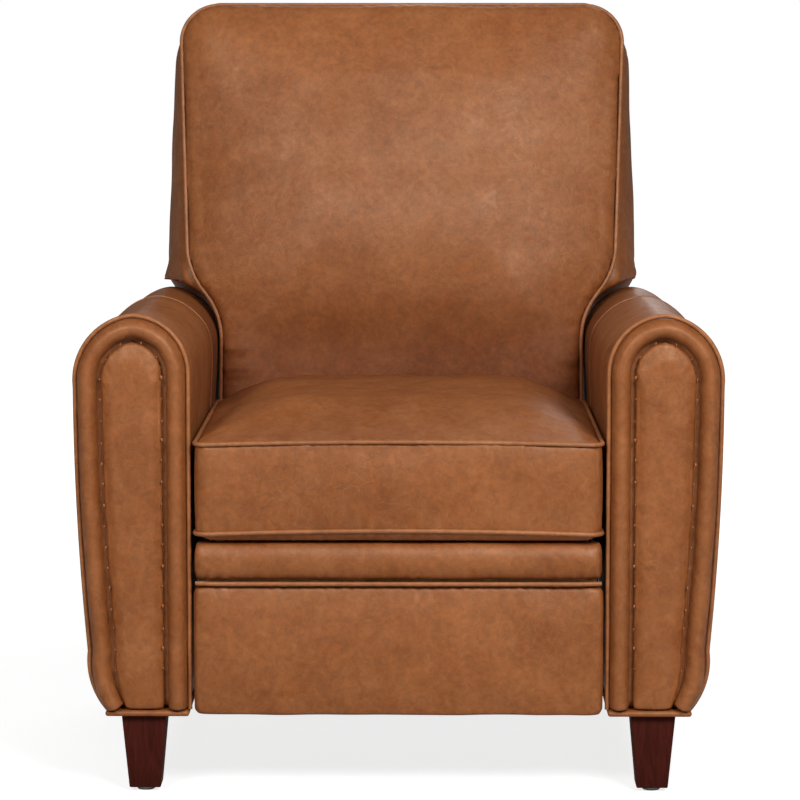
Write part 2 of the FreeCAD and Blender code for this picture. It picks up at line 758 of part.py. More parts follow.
# Links that carry the seat and the footrest
def make_links():
    save("swing_links", pair(plate(
        [(SWING_PIVOT, SEAT_FRONT_PIVOT, 13.0)], 1, running=[SWING_PIVOT, SEAT_FRONT_PIVOT]
    )))
    stud_arm = (DRIVE_STUD[0] - CRANK_PIVOT[0], DRIVE_STUD[1] - CRANK_PIVOT[1])
    reach = math.hypot(*stud_arm)
    slot = [moved(CRANK_PIVOT, tuple(c * r / reach for c in stud_arm)) for r in (33.0, reach + 2)]
    crank = plate(
        [
            (CRANK_PIVOT, CRANK_END, 12.0),
            (CONTROL_START, CRANK_END, 12.0),
            (CONTROL_START, CRANK_PIVOT, 12.0),
            (CRANK_PIVOT, slot[1], 12.0),
        ],
        2,
        fixed=[CRANK_END, CONTROL_START],
        running=[CRANK_PIVOT],
    )
    crank = crank.cut(capsule(slot[0], slot[1], SLOT_HALF_WIDTH, LAYERS[2]))
    save("crank_links", pair(crank))
    share = TUBE_REACH / CRANK_LENGTH
    centre = tuple(a + share * (b - a) for a, b in zip(CRANK_PIVOT, CRANK_END))
    save("crank_torque_tube", rod(*centre, (-LAYERS[2][0], LAYERS[2][0]), TUBE_RADIUS))
    pivots = [pin(CRANK_END, 2, 3), pin(CONTROL_START, 2, 1)]
    save("crank_pivots", group(pivots + [mirrored(p) for p in pivots]))
    save("idler_links", pair(plate(
        [(IDLER_PIVOT, IDLER_END, 9.5)], 4, fixed=[IDLER_END], running=[IDLER_PIVOT]
    )))
    save("idler_pivots", pair(pin(IDLER_END, 4, 3)))
    save("carrier_links", pair(plate(
        [(CRANK_END, FOOT_PIVOT, 11.0)], 3, running=[CRANK_END, IDLER_END, FOOT_PIVOT]
    )))
    save("control_links", pair(plate(
        [(CONTROL_START, CONTROL_END, 11.0)], 1, running=[CONTROL_START, CONTROL_END]
    )))


make_links()


# Footrest
def padded_bar(half, z, edge, crown, draw):
    """A pad on the front of the board: crowned, with ends that draw in and lie lower."""
    back = FOOT_BACK_Y - FOOT_BOARD - COVER_GAP
    middle = (z[0] + z[1]) / 2
    rings = []
    left = [(-share, fullness) for share, fullness in PAD_END]
    for share, fullness in left + list(reversed(PAD_END)):
        x = share * half
        low, high = z[0] + draw * (1 - fullness), z[1] - draw * (1 - fullness)
        rim = back - edge * (0.55 + 0.45 * fullness)
        peak = rim - crown * (0.7 + 0.3 * fullness)
        corners = [Vector(x, y, h) for y, h in ((rim, high), (back, high), (back, low), (rim, low))]
        sides = [line(a, b) for a, b in zip(corners, corners[1:])]
        rings.append(Part.Wire(sides + [arc(corners[3], Vector(x, peak, middle), corners[0])]))
    return Part.makeLoft(rings, True, True)


def make_footrest():
    board_y = (FOOT_BACK_Y - FOOT_BOARD, FOOT_BACK_Y)
    board = box((-252, 252), board_y, (112, 320))
    bracket = plate([(FOOT_PIVOT, CONTROL_END, 13.0)], 2)
    x = LAYERS[2]
    web_z = (FOOT_PIVOT[1] - 18, CONTROL_END[1] + 18)
    web = box(x, (FOOT_BACK_Y + COVER_GAP, FOOT_PIVOT[0]), web_z)
    flange = box((x[0] - 30, x[1]), (FOOT_BACK_Y + COVER_GAP, FOOT_BACK_Y + 4), web_z)
    bracket = fused([bracket, web, flange])
    for p in (FOOT_PIVOT, CONTROL_END):
        bracket = bracket.cut(rod(*p, x, PIN_RADIUS))
    screws = []
    for z in (web_z[0] + 14, web_z[1] - 14):
        shank = Part.makeCylinder(2.5, 14, Vector(x[0] - 16, FOOT_BACK_Y + 4, z), Vector(0, -1, 0))
        head = Part.makeCylinder(5, 2, Vector(x[0] - 16, FOOT_BACK_Y + 4, z), Vector(0, 1, 0))
        screws.append(fused([shank, head]))
    for screw in screws:
        bracket = bracket.cut(screw)
        for s in (screw, mirrored(screw)):
            board = board.cut(s)
    save("footrest_board", board)
    save("footrest_brackets", pair(bracket))
    save("footrest_screws", group(screws + [mirrored(s) for s in screws]))
    pivots = [pin(FOOT_PIVOT, 2, 3), pin(CONTROL_END, 2, 1)]
    save("footrest_pivots", group(pivots + [mirrored(p) for p in pivots]))
    save("footrest_panel", padded_bar(FOOT_HALF, FOOT_Z, FOOT_PAD - 8, 8.0, 9.0))
    save("footrest_band", padded_bar(FOOT_HALF - 2, FOOT_BAND_Z, FOOT_PAD - 20, 18.0, 5.0))
    welt_y = FOOT_BACK_Y - FOOT_BOARD - FOOT_PAD + 8
    save("footrest_welt", rod(welt_y, FOOT_WELT_Z, (-FOOT_HALF + 3, FOOT_HALF - 3), WELT_RADIUS))


make_footrest()
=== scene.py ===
import math
from functools import partial

import bpy
import numpy as np
from mathutils import Matrix, Vector, kdtree
from mathutils.bvhtree import BVHTree


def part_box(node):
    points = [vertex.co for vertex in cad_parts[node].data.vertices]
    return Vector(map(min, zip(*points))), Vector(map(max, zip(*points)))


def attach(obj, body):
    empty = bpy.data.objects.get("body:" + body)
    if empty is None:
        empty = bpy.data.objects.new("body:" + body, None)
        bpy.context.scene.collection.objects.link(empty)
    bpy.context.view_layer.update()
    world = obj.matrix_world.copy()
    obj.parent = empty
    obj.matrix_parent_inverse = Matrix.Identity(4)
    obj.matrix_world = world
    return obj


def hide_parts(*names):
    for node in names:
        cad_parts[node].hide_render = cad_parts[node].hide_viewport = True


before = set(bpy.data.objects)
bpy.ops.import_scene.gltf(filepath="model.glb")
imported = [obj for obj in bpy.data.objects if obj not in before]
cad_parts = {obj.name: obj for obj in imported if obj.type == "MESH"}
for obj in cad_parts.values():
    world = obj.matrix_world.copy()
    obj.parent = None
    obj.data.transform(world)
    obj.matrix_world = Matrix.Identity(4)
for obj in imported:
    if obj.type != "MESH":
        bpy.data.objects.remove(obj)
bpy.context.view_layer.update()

# Sizes of the chair, in metres
ARM_INNER_X = 0.262
ARM_OUTER_X = 0.4125
ARM_CREST_X = 0.338
ARM_TOP_Z = 0.617
ARM_INNER_SPRING_Z = 0.540
ARM_OUTER_SPRING_Z = 0.522
ARM_BELLY = (0.408, 0.340)
ARM_WAIST = (0.397, 0.185)
ARM_ANKLE = (0.389, 0.132)
ARM_HEEL_X = 0.374
ARM_FOOT_Z = 0.1093
ARM_FRONT_Y = -0.412
ARM_REAR_Y = 0.280
ARM_START_INSET = 0.004
ARM_SEAM_Y = 0.006
ARM_DROP = 0.011
ARM_DROP_Y = (-0.10, 0.16)
ARM_DROP_Z = (0.44, 0.60)
ARM_REAR_ROUND = 0.034
ARM_REAR_DRAW = 0.03
ARM_SEAM_MIDDLE_Z = 0.5
ARM_CELL = 0.0068
ARM_SWELL = {"outer": 0.003, "top": 0.004, "front_top": 0.002, "inner": 0.003, "low": 0.0006, "rear": 0.004}
ROLL_FRONT_Y = -0.434
ROLL_BACK_Y = ARM_FRONT_Y - 0.0004
ROLL_RADIUS = 0.0124
ROLL_INSET = 0.0194
FACING_INSET = 0.0365
FACING_FRONT_Y = -0.4245
FACING_CELL = 0.004
FACING_SWELL = 0.0028
FACING_PRESSURE = 20.0
TACK_RADIUS = 0.0013
TACK_PITCH = 0.026
SOLE_X = (0.2665, 0.3735)
SOLE_Y = (-0.427, 0.274)
SOLE_Z = (0.1015, 0.1088)
WELT_RADIUS = 0.0029
WELT_INSET = 0.0039
SOLE_CORNER = 0.0034
SEAM_RADIUS = 0.0013

# Steps along seams, and the covers' stuffing
WELT_STEP = 0.004
SEAM_STEP = 0.005
PUCKER_STEP = 0.002
COVER_PRESSURE = 30.0
HELD_ROOM = 0.0004

BACK_LEAN = math.radians(16.0)
BACK_PLACE = Vector((0.0, 0.102, 0.400))
BACK_TOP = 0.630
BACK_BOTTOM = -0.072
BACK_TOP_HALF = 0.319
BACK_WIDE_HALF = 0.307
BACK_NARROW_HALF = 0.256
BACK_NOTCH = (0.135, 0.275)
BACK_CORNER = 0.054
BACK_EDGE = 0.006
BACK_ROUND = 0.05
BACK_ROUND_DEPTH = 0.016
BACK_DEPTH = 0.176
BACK_CROWN_AT = (-0.110, 0.040, 0.100, 0.160, 0.220, 0.290, 0.430, 0.540, 0.640)
BACK_CROWN = (-0.016, -0.016, -0.012, 0.003, 0.021, 0.038, 0.030, 0.020, 0.012)
BACK_CROWN_BLUR = 0.055
BACK_WELT_DEPTH = -0.004
BACK_CELL = 0.0062
BACK_SWELL = 0.012
BACK_PRESSURE = 64.0
SHELL_FRONT = 0.003
SHELL_LOW_HALF = 0.246
SHELL_LOW_V = (-0.100, 0.330)
SHELL_LOW_CORNER = 0.012
SHELL_CELL = 0.0068
SHELL_SWELL = {"sides": 0.004, "top": 0.003, "rear": 0.007}
WING_DEPTHS = (SHELL_FRONT, 0.070, BACK_DEPTH)
WING_LOW_HALF = (0.311, 0.340, 0.338)
WING_HIGH_HALF = (0.322, 0.331, 0.329)
WING_KICK = 0.010
WING_START_V = 0.181
WING_FOOT_DEPTHS = (SHELL_FRONT, 0.03, 0.06, 0.09, 0.105, 0.118, 0.138, BACK_DEPTH)
WING_FOOT_Z = (0.611, 0.609, 0.609, 0.611, 0.609, 0.602, 0.568, 0.566)
WING_HEEL_X = (0.326, 0.341)
WING_HEEL_DEPTH = (0.10, 0.138)
WING_HEEL_RISE = 0.037
WING_FOOT_X = 0.256
WING_ARM_GAP = 0.004

SEAT_HALF = 0.2576
SEAT_FRONT_Y = -0.4415
SEAT_REAR_Y = 0.055
SEAT_BOTTOM_Z = 0.3286
SEAT_WELT_Z = (0.338, 0.452)
SEAT_BOW = (0.005, 0.004)
SEAT_CORNER = 0.018
SEAT_CROWN = 0.034
SEAT_BOW_REACH = 0.2
SEAT_UNDER_ROUND = 0.016
SEAT_CELL = 0.006
SEAT_SWELL = {"top": 0.012, "front": 0.006, "sides": 0.001, "rear": 0.008}
SEAT_PRESSURE = 60.0
DECK_SAG = 0.003
DECK_DROP = 0.0012
DECK_CLOTH = 0.0008

FOOT_BACK_Y = -0.4073
FOOT_CELL = 0.005
FOOT_WELT_Z = 0.274
FOOT_WELT_Y = -0.4335
FOOT_WELT_HALF = 0.257
FOOT_PADS = {
    "panel": dict(z=(0.1032, 0.2704), edge=0.022, crown=0.006, draw=0.008, half=0.260, room=0.005),
    "band": dict(z=(0.2776, 0.3260), edge=0.017, crown=0.012, draw=0.004, half=0.258, room=0.002),
}

LEG_X = 0.325
LEG_TOP_Z = 0.1015
LEG_FOOT_Z = 0.005
LEG_TOP_SIDE = 0.057
LEG_FOOT_SIDE = 0.040
LEG_CORNER = 0.0016
LEG_PLACES = {"front": (-0.388, 0.0), "rear": (0.232, 0.022)}

CAMERA_PLACE = Vector((0.029, -4.4707, 0.965))
CAMERA_LENS = 145.494
CAMERA_TILT = 6.453
CAMERA_TURN = 0.382
LAMP_AIM = Vector((0, -0.1, 0.5))
LAMPS = {
    "key": dict(place=(1.3, -3.0, 2.45), power=86, size=1.1),
    "second": dict(place=(-1.3, -3.0, 2.4), power=54, size=1.1),
    "top": dict(place=(0.0, -0.5, 3.4), power=4, size=1.6),
    "behind": dict(place=(0.5, 3.5, 2.6), power=40, size=2.0),
}
FLOOR_SIDE = 40
FLOOR_GREY = (0.45, 0.45, 0.45, 1)
FLOOR_GLOW = (0.8, 1.0)
FLOOR_GLOW_REACH = (0.7, 2.2)
FLOOR_MIRRORED = 0.2
ROOM_LIGHT = 0.1
ROOM_TURN = (0.1, -0.6)
ROOM_MIRRORED = (0.03, 0.24)

# Painted shade: the leather's colour is darkened where the seat meets the back, between the arms
PAINTED_SHADE_PLACE = (0.06, 0.47)
PAINTED_SHADE_REACH = (0.05, 0.17)
PAINTED_SHADE_HALF = (0.285, 0.315)
PAINTED_SHADE_COLOUR = (0.56, 0.38, 0.18, 1)

SCENE = bpy.context.scene
SIDES = {"right": 1.0, "left": -1.0}
LEAN_MATRIX = Matrix.Translation(BACK_PLACE) @ Matrix.Rotation(-BACK_LEAN, 4, "X")


# Working with one object at a time
def switch(mode):
    bpy.ops.object.mode_set(mode=mode)


def deselect():
    if bpy.context.object and bpy.context.object.mode != "OBJECT":
        switch("OBJECT")
    bpy.ops.object.select_all(action="DESELECT")


def work_on(obj):
    deselect()
    bpy.context.view_layer.objects.active = obj
    obj.select_set(True)


def apply_modifier(obj, kind, **values):
    """Add a modifier, set it and apply it."""
    work_on(obj)
    modifier = obj.modifiers.new("shaping", kind)
    for name, value in values.items():
        setattr(modifier, name, value)
    bpy.ops.object.modifier_apply(modifier=modifier.name)


def added(name):
    """The object that an operator has just made, with its name."""
    obj = bpy.context.object
    obj.name = obj.data.name = name
    return obj


def linked(name, data):
    """A new object in the scene for some data."""
    obj = bpy.data.objects.new(name, data)
    SCENE.collection.objects.link(obj)
    return obj


def own_copy(obj):
    """A copy of an object in the scene, with a mesh of its own."""
    copy = obj.copy()
    copy.data = obj.data.copy()
    SCENE.collection.objects.link(copy)
    return copy


def joined(first, others):
    """Several objects made into one, which is the first of them."""
    deselect()
    for obj in (first, *others):
        obj.select_set(True)
    bpy.context.view_layer.objects.active = first
    bpy.ops.object.join()
    return first


def vertex_vectors(obj, what):
    flat = np.zeros(len(obj.data.vertices) * 3, np.float32)
    obj.data.vertices.foreach_get(what, flat)
    return flat.reshape(-1, 3).astype(float)


def points_of(obj):
    return vertex_vectors(obj, "co")


def normals_of(obj):
    return vertex_vectors(obj, "normal")


def place_points(obj, points):
    obj.data.vertices.foreach_set("co", np.asarray(points, np.float32).ravel())
    obj.data.update()


def smooth_step(low, high, value):
    share = np.clip((value - low) / (high - low), 0, 1)
    return share * share * (3 - 2 * share)


# Lines and outlines
def arc_points(start, middle, end, steps=16):
    """Points on the circle through three points of a plane, without the last one."""
    (ax, ay), (bx, by), (cx, cy) = start, middle, end
    twice = 2 * (ax * (by - cy) + bx * (cy - ay) + cx * (ay - by))
    a2, b2, c2 = ax * ax + ay * ay, bx * bx + by * by, cx * cx + cy * cy
    ux = (a2 * (by - cy) + b2 * (cy - ay) + c2 * (ay - by)) / twice
    uy = (a2 * (cx - bx) + b2 * (ax - cx) + c2 * (bx - ax)) / twice
    radius = math.hypot(ax - ux, ay - uy)
    turn = 2 * math.pi
    first = math.atan2(ay - uy, ax - ux)
    half_way = (math.atan2(by - uy, bx - ux) - first) % turn
    sweep = (math.atan2(cy - uy, cx - ux) - first) % turn
    if half_way > sweep:
        sweep -= turn
    angles = [first + sweep * i / steps for i in range(steps)]
    return [(ux + radius * math.cos(a), uy + radius * math.sin(a)) for a in angles]


def resample(points, count=None, spacing=None, closed=False):
    """Points at even steps along a line."""
    line = np.asarray(points, float)
    if closed:
        line = np.vstack([line, line[:1]])
    lengths = np.concatenate([[0], np.cumsum(np.linalg.norm(np.diff(line, axis=0), axis=1))])
    if count is None:
        count = max(8, int(round(lengths[-1] / spacing)))
    places = np.linspace(0, lengths[-1], count + 1 if closed else count)
    if closed:
        places = places[:-1]
    return np.stack([np.interp(places, lengths, line[:, k]) for k in range(line.shape[1])], axis=1)


def arm_outline(inset):
    """The arm's front outline as (x, z), from its inner foot over the crest to its heel."""
    diagonal = math.cos(math.radians(45))
    inner_x, outer_x, top_z = ARM_INNER_X + inset, ARM_OUTER_X - inset, ARM_TOP_Z - inset
    crest = (ARM_CREST_X, top_z)
    inner_spring = (inner_x, ARM_INNER_SPRING_Z)
    outer_spring = (outer_x, ARM_OUTER_SPRING_Z)

    def shoulder(spring):
        x, z = spring
        return (ARM_CREST_X + (x - ARM_CREST_X) * diagonal, z + (top_z - z) * diagonal)

    waist = (ARM_WAIST[0] - inset, ARM_WAIST[1])
    heel = (ARM_HEEL_X - 0.72 * inset, ARM_FOOT_Z)
    points = [(inner_x, ARM_FOOT_Z)]
    points += arc_points(inner_spring, shoulder(inner_spring), crest)
    points += arc_points(crest, shoulder(outer_spring), outer_spring)
    points += arc_points(outer_spring, (ARM_BELLY[0] - inset, ARM_BELLY[1]), waist)
    points += arc_points(waist, (ARM_ANKLE[0] - 0.92 * inset, ARM_ANKLE[1]), heel)
    return points + [heel]


def back_half_width(v):
    """Half the width of the back cushion at height v along it."""
    low, high = BACK_NOTCH
    if v <= low:
        return BACK_NARROW_HALF
    if v < high:
        run, rise = (BACK_WIDE_HALF - BACK_NARROW_HALF) / 2, (high - low) / 2
        radius = (run**2 + rise**2) / (2 * run)
        middle = (low + high) / 2
        if v < middle:
            return BACK_NARROW_HALF + radius - math.sqrt(radius**2 - (v - low) ** 2)
        return BACK_WIDE_HALF - radius + math.sqrt(radius**2 - (high - v) ** 2)
    shoulder = BACK_TOP - BACK_CORNER
    if v <= shoulder:
        return BACK_WIDE_HALF + (BACK_TOP_HALF - BACK_WIDE_HALF) * (v - high) / (shoulder - high)
    rise = min(v - shoulder, BACK_CORNER)
    return BACK_TOP_HALF - BACK_CORNER + math.sqrt(BACK_CORNER**2 - rise**2)


def back_levels():
    """Heights along the back for its sections, close together where its outline turns."""
    straight = np.linspace(BACK_BOTTOM, BACK_TOP - BACK_CORNER, 60)
    turns = np.radians(np.linspace(6, 90, 15))
    return np.concatenate([straight, BACK_TOP - BACK_CORNER + BACK_CORNER * np.sin(turns)])


def seat_loop(z, bow=0.0, grow=0.0):
    """A seam round the seat cushion, closed, bowed upwards at the middle of the front."""
    half, front, rear = SEAT_HALF + grow, SEAT_FRONT_Y - grow, SEAT_REAR_Y + grow
    r = SEAT_CORNER + grow
    points = []
    corners = [(half - r, front + r), (half - r, rear - r), (r - half, rear - r), (r - half, front + r)]
    for first, (x, y) in zip((-90, 0, 90, 180), corners):
        for step in range(7):
            angle = math.radians(first + 15 * step)
            points.append((x + r * math.cos(angle), y + r * math.sin(angle)))
    line = resample(points, spacing=WELT_STEP, closed=True)
    rise = bow * (1 - (line[:, 0] / half) ** 2) * smooth_step(front + SEAT_BOW_REACH, front, line[:, 1])
    return np.column_stack([line, z + rise])


# Shapes
def rolled(name, rings):
    """A closed skin through rings of points: a grid rolled into a tube, with its ends filled."""
    rings = np.asarray(rings, float)
    count, around = rings.shape[:2]
    deselect()
    bpy.ops.mesh.primitive_grid_add(x_subdivisions=around, y_subdivisions=count - 1, size=1)
    obj = added(name)
    flat = points_of(obj)
    column = np.rint((flat[:, 0] + 0.5) * around).astype(int) % around
    row = np.rint((flat[:, 1] + 0.5) * (count - 1)).astype(int)
    place_points(obj, rings[row, column])
    switch("EDIT")
    bpy.ops.mesh.select_all(action="SELECT")
    bpy.ops.mesh.remove_doubles(threshold=1e-6)
    bpy.ops.mesh.fill_holes(sides=0)
    bpy.ops.mesh.select_all(action="SELECT")
    bpy.ops.mesh.normals_make_consistent(inside=False)
    switch("OBJECT")
    return obj


def block(name, low, high, corner):
    """A box between two corners with rounded edges."""
    deselect()
    low, high = Vector(low), Vector(high)
    bpy.ops.mesh.primitive_cube_add(size=1, location=(low + high) / 2, scale=high - low)
    obj = added(name)
    bpy.ops.object.transform_apply(location=True, rotation=True, scale=True)
    switch("EDIT")
    bpy.ops.mesh.select_mode(type="EDGE")
    bpy.ops.mesh.select_all(action="SELECT")
    bpy.ops.mesh.bevel(offset=corner, segments=4, affect="EDGES")
    switch("OBJECT")
    return obj


def cord_mesh(name, path, radius, closed=False):
    """A round piping along a path, as a mesh."""
    deselect()
    curve = bpy.data.curves.new(name, "CURVE")
    curve.dimensions = "3D"
    curve.bevel_depth = radius
    curve.bevel_resolution = 3
    curve.use_fill_caps = not closed
    spline = curve.splines.new("POLY")
    spline.points.add(len(path) - 1)
    for point, place in zip(spline.points, path):
        point.co = (*place, 1.0)
    spline.use_cyclic_u = closed
    work_on(linked(name, curve))
    bpy.ops.object.convert(target="MESH")
    return bpy.context.object


def mirrored_copy(obj, name):
    """The same piece for the other side of the chair, with a mesh of its own."""
    deselect()
    copy = own_copy(obj)
    copy.name = copy.data.name = name
    copy.data.transform(Matrix.Scale(-1, 4, (1, 0, 0)))
    copy.data.flip_normals()
    return copy


# Soft pieces
def remesh(obj, cell):
    apply_modifier(obj, "REMESH", mode="VOXEL", voxel_size=cell, use_smooth_shade=True)


def relax(obj, rounds):
    apply_modifier(obj, "SMOOTH", factor=0.5, iterations=rounds)


def swell(obj, room, pressure=COVER_PRESSURE, last_frame=20):
    """Blow the cover up like cloth over its filling; room says how far each point may move."""
    start = points_of(obj)
    held = obj.vertex_groups.new(name="held")
    held.add([int(i) for i in np.nonzero(room < HELD_ROOM)[0]], 1.0, "REPLACE")
    work_on(obj)
    cloth = obj.modifiers.new("cover", "CLOTH")
    settings = cloth.settings
    settings.quality = 4
    settings.mass = 0.3
    settings.tension_stiffness = 15
    settings.compression_stiffness = 15
    settings.shear_stiffness = 5
    settings.bending_stiffness = 0.5
    settings.vertex_group_mass = "held"
    settings.use_pressure = True
    settings.uniform_pressure_force = pressure
    settings.effector_weights.gravity = 0
    cloth.collision_settings.use_collision = False
    cloth.collision_settings.use_self_collision = False
    cloth.point_cache.frame_start = 1
    cloth.point_cache.frame_end = last_frame
    for number in range(1, last_frame + 1):
        SCENE.frame_set(number)
    bpy.ops.object.modifier_apply(modifier=cloth.name)
    SCENE.frame_set(1)
    obj.vertex_groups.clear()
    moved = points_of(obj) - start
    length = np.linalg.norm(moved, axis=1)
    share = np.minimum(1.0, room / np.maximum(length, 1e-9))
    place_points(obj, start + moved * share[:, None])


def shove(obj, room):
    """Move each point outwards by its room."""
    place_points(obj, points_of(obj) + normals_of(obj) * room[:, None])


def uneven(obj, amount, wave, seed, mask):
    """Slow waves in a hand-stuffed surface."""
    draw = np.random.RandomState(seed)
    points = points_of(obj)
    total = np.zeros(len(points))
    for _ in range(14):
        way = draw.normal(size=3)
        way *= 2 * math.pi / (wave * draw.uniform(0.6, 1.8)) / np.linalg.norm(way)
        total += np.sin(points @ way + draw.uniform(0, 2 * math.pi))
    shove(obj, amount * total / 3.0 * mask(points))


def pucker(obj, seam, reach, depth, pitch, seed, mask=None):
    """Small gathers in the cover where it is sewn into a seam."""
    draw = np.random.RandomState(seed)
    seam = resample(seam, spacing=PUCKER_STEP)
    along = np.arange(len(seam)) * PUCKER_STEP
    drift = np.cumsum(draw.normal(size=len(seam))) * 0.05
    strength = np.abs(np.interp(along, along[::9], draw.normal(size=len(along[::9]))))
    wave = np.sin(2 * math.pi * along / pitch + drift) * np.clip(strength, 0.15, 1.6)
    tree = kdtree.KDTree(len(seam))
    for i, place in enumerate(seam):
        tree.insert(Vector(place), i)
    tree.balance()
    points = points_of(obj)
    shift = np.zeros(len(points))
    for i, place in enumerate(points):
        _, nearest, distance = tree.find(place)
        if distance < reach:
            share = distance / reach
            shift[i] = wave[nearest] * math.sin(math.pi * min(1.0, share + 0.12)) * (1 - share)
    shift *= depth
    if mask is not None:
        shift = shift * mask(points)
    shove(obj, shift)


def refine(obj):
    apply_modifier(obj, "SUBSURF", levels=1, render_levels=1)


def smoothed(obj):
    work_on(obj)
    bpy.ops.object.shade_smooth()
    return obj


def finish_piece(obj, body, finish, *nodes, fill=None):
    """Give a piece its finish and its place in the chair."""
    obj.data.materials.clear()
    obj.data.materials.append(MATERIALS[finish])
    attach(obj, body)
    if nodes:
        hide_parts(*nodes)
    return obj


# Shader building
def new_group(name, inputs):
    """A node group for a finish, with the kind of each named input."""
    group = bpy.data.node_groups.new(name, "ShaderNodeTree")
    for label, kind in inputs.items():
        group.interface.new_socket(label, in_out="INPUT", socket_type="NodeSocket" + kind)
    for label, kind in (("Color", "Color"), ("Roughness", "Float"), ("Height", "Float")):
        group.interface.new_socket(label, in_out="OUTPUT", socket_type="NodeSocket" + kind)
    source = group.nodes.new("NodeGroupInput")
    sink = group.nodes.new("NodeGroupOutput")
    return group, source, sink


def add_node(tree, kind, values=None, **links):
    """A node with values set by attribute or socket name, and links made by input socket name."""
    node = tree.nodes.new("ShaderNode" + kind)
    for name, value in (values or {}).items():
        if hasattr(node, name):
            setattr(node, name, value)
        else:
            node.inputs[name].default_value = value
    for name, source in links.items():
        tree.links.new(source, node.inputs[name.replace("_", " ")])
    return node


def feed(tree, sockets, values):
    """Set each socket to a plain value, or link it to another node's output."""
    for socket, value in zip(sockets, values):
        if isinstance(value, (int, float, tuple)):
            socket.default_value = value
        else:
            tree.links.new(value, socket)


def math_node(tree, operation, *values):
    node = tree.nodes.new("ShaderNodeMath")
    node.operation = operation
    feed(tree, node.inputs, values)
    return node.outputs[0]


def vector_node(tree, operation, *values):
    node = tree.nodes.new("ShaderNodeVectorMath")
    node.operation = operation
    feed(tree, node.inputs, values)
    return node.outputs["Value" if operation == "LENGTH" else "Vector"]


def coordinates(tree, kind="Object"):
    return tree.nodes.new("ShaderNodeTexCoord").outputs[kind]


def spread(tree, value, low, high, to_low=0.0, to_high=1.0):
    """A value stretched from one range to another, clamped."""
    node = tree.nodes.new("ShaderNodeMapRange")
    for name, number in zip(("From Min", "From Max", "To Min", "To Max"), (low, high, to_low, to_high)):
        node.inputs[name].default_value = number
    tree.links.new(value, node.inputs["Value"])
    return node.outputs["Result"]


def mix_colour(tree, share, first, second, blend="MIX"):
    node = tree.nodes.new("ShaderNodeMix")
    node.data_type = "RGBA"
    node.blend_type = blend
    feed(tree, (node.inputs[0], node.inputs[6], node.inputs[7]), (share, first, second))
    return node.outputs[2]


def noise_value(tree, vector, scale, detail=3.0, roughness=0.55, distortion=0.0):
    node = add_node(
        tree,
        "TexNoise",
        {"Scale": scale, "Detail": detail, "Roughness": roughness, "Distortion": distortion},
        Vector=vector,
    )
    return node.outputs["Fac"]


def painted_shade_share(group, place):
    """Where shade is painted: 1 where the seat meets the back between the arms, and 0 away from it."""
    from_painted_shade = vector_node(group, "MULTIPLY_ADD", place, (0, 1, 1), (0, -PAINTED_SHADE_PLACE[0], -PAINTED_SHADE_PLACE[1]))
    axes = add_node(group, "SeparateXYZ", Vector=place)
    off_middle = math_node(group, "ABSOLUTE", axes.outputs["X"])
    between_arms = spread(group, off_middle, *PAINTED_SHADE_HALF, 1.0, 0.0)
    near = spread(group, vector_node(group, "LENGTH", from_painted_shade), *PAINTED_SHADE_REACH, 1.0, 0.0)
    return math_node(group, "MULTIPLY", near, between_arms)


def hide_group():
    """Pull-up leather: cloudy dye, fine pebbling, pale creases, and painted shade behind the seat."""
    group, source, sink = new_group("hide", {"Tone": "Color", "Deep": "Color", "Pale": "Color"})
    place = coordinates(group)
    noise = partial(noise_value, group, place)
    times = partial(math_node, group, "MULTIPLY")
    plus = partial(math_node, group, "ADD")
    clouds = spread(group, noise(5.5, 4, 0.6, 0.7), 0.32, 0.68)
    mottle = spread(group, noise(24, 6, 0.68, 0.5), 0.36, 0.7)
    speckle = noise(150, 4, 0.7)
    warp = add_node(group, "TexNoise", {"Scale": 14.0, "Detail": 3.0}, Vector=place)
    warped = vector_node(group, "MULTIPLY_ADD", warp.outputs["Color"], (0.05, 0.05, 0.05), place)
    vein = add_node(group, "TexVoronoi", {"feature": "DISTANCE_TO_EDGE", "Scale": 56.0}, Vector=warped)
    vein_line = spread(group, vein.outputs["Distance"], 0.0, 0.024, 1.0, 0.0)
    vein_patch = spread(group, noise(9, 3, 0.6), 0.44, 0.66)
    veins = times(vein_line, vein_patch)
    grain = add_node(group, "TexVoronoi", {"feature": "SMOOTH_F1", "Scale": 620.0}, Vector=place)
    crease = noise(260, 5, 0.7, 0.8)
    painted_shade_mask = painted_shade_share(group, place)

    colour = mix_colour(group, clouds, source.outputs["Deep"], source.outputs["Tone"])
    pale_share = times(mottle, 0.34)
    colour = mix_colour(group, pale_share, colour, source.outputs["Pale"])
    vein_share = times(veins, 0.34)
    colour = mix_colour(group, vein_share, colour, source.outputs["Pale"])
    dabs = spread(group, noise(78, 4, 0.62, 0.9), 0.34, 0.68, 0.83, 1.11)
    freckle = times(dabs, spread(group, speckle, 0.3, 0.75, 0.88, 1.1))
    grey = group.nodes.new("ShaderNodeCombineColor")
    for socket in grey.inputs:
        group.links.new(freckle, socket)
    colour = mix_colour(group, 1.0, colour, grey.outputs[0], "MULTIPLY")
    # Painted shade: the colour is darkened where the seat meets the back
    painted_shade_tint = mix_colour(group, painted_shade_mask, (1, 1, 1, 1), PAINTED_SHADE_COLOUR)
    colour = mix_colour(group, 1.0, colour, painted_shade_tint, "MULTIPLY")
    group.links.new(colour, sink.inputs["Color"])

    rough = spread(group, mottle, 0, 1, 0.5, 0.41)
    rough = plus(rough, spread(group, speckle, 0.3, 0.7, 0.06, -0.04))
    rough = plus(rough, times(painted_shade_mask, 0.25))
    group.links.new(rough, sink.inputs["Roughness"])
    height = plus(times(grain.outputs["Distance"], 0.9), crease)
    height = math_node(group, "SUBTRACT", height, times(veins, 0.9))
    group.links.new(height, sink.inputs["Height"])
    return group


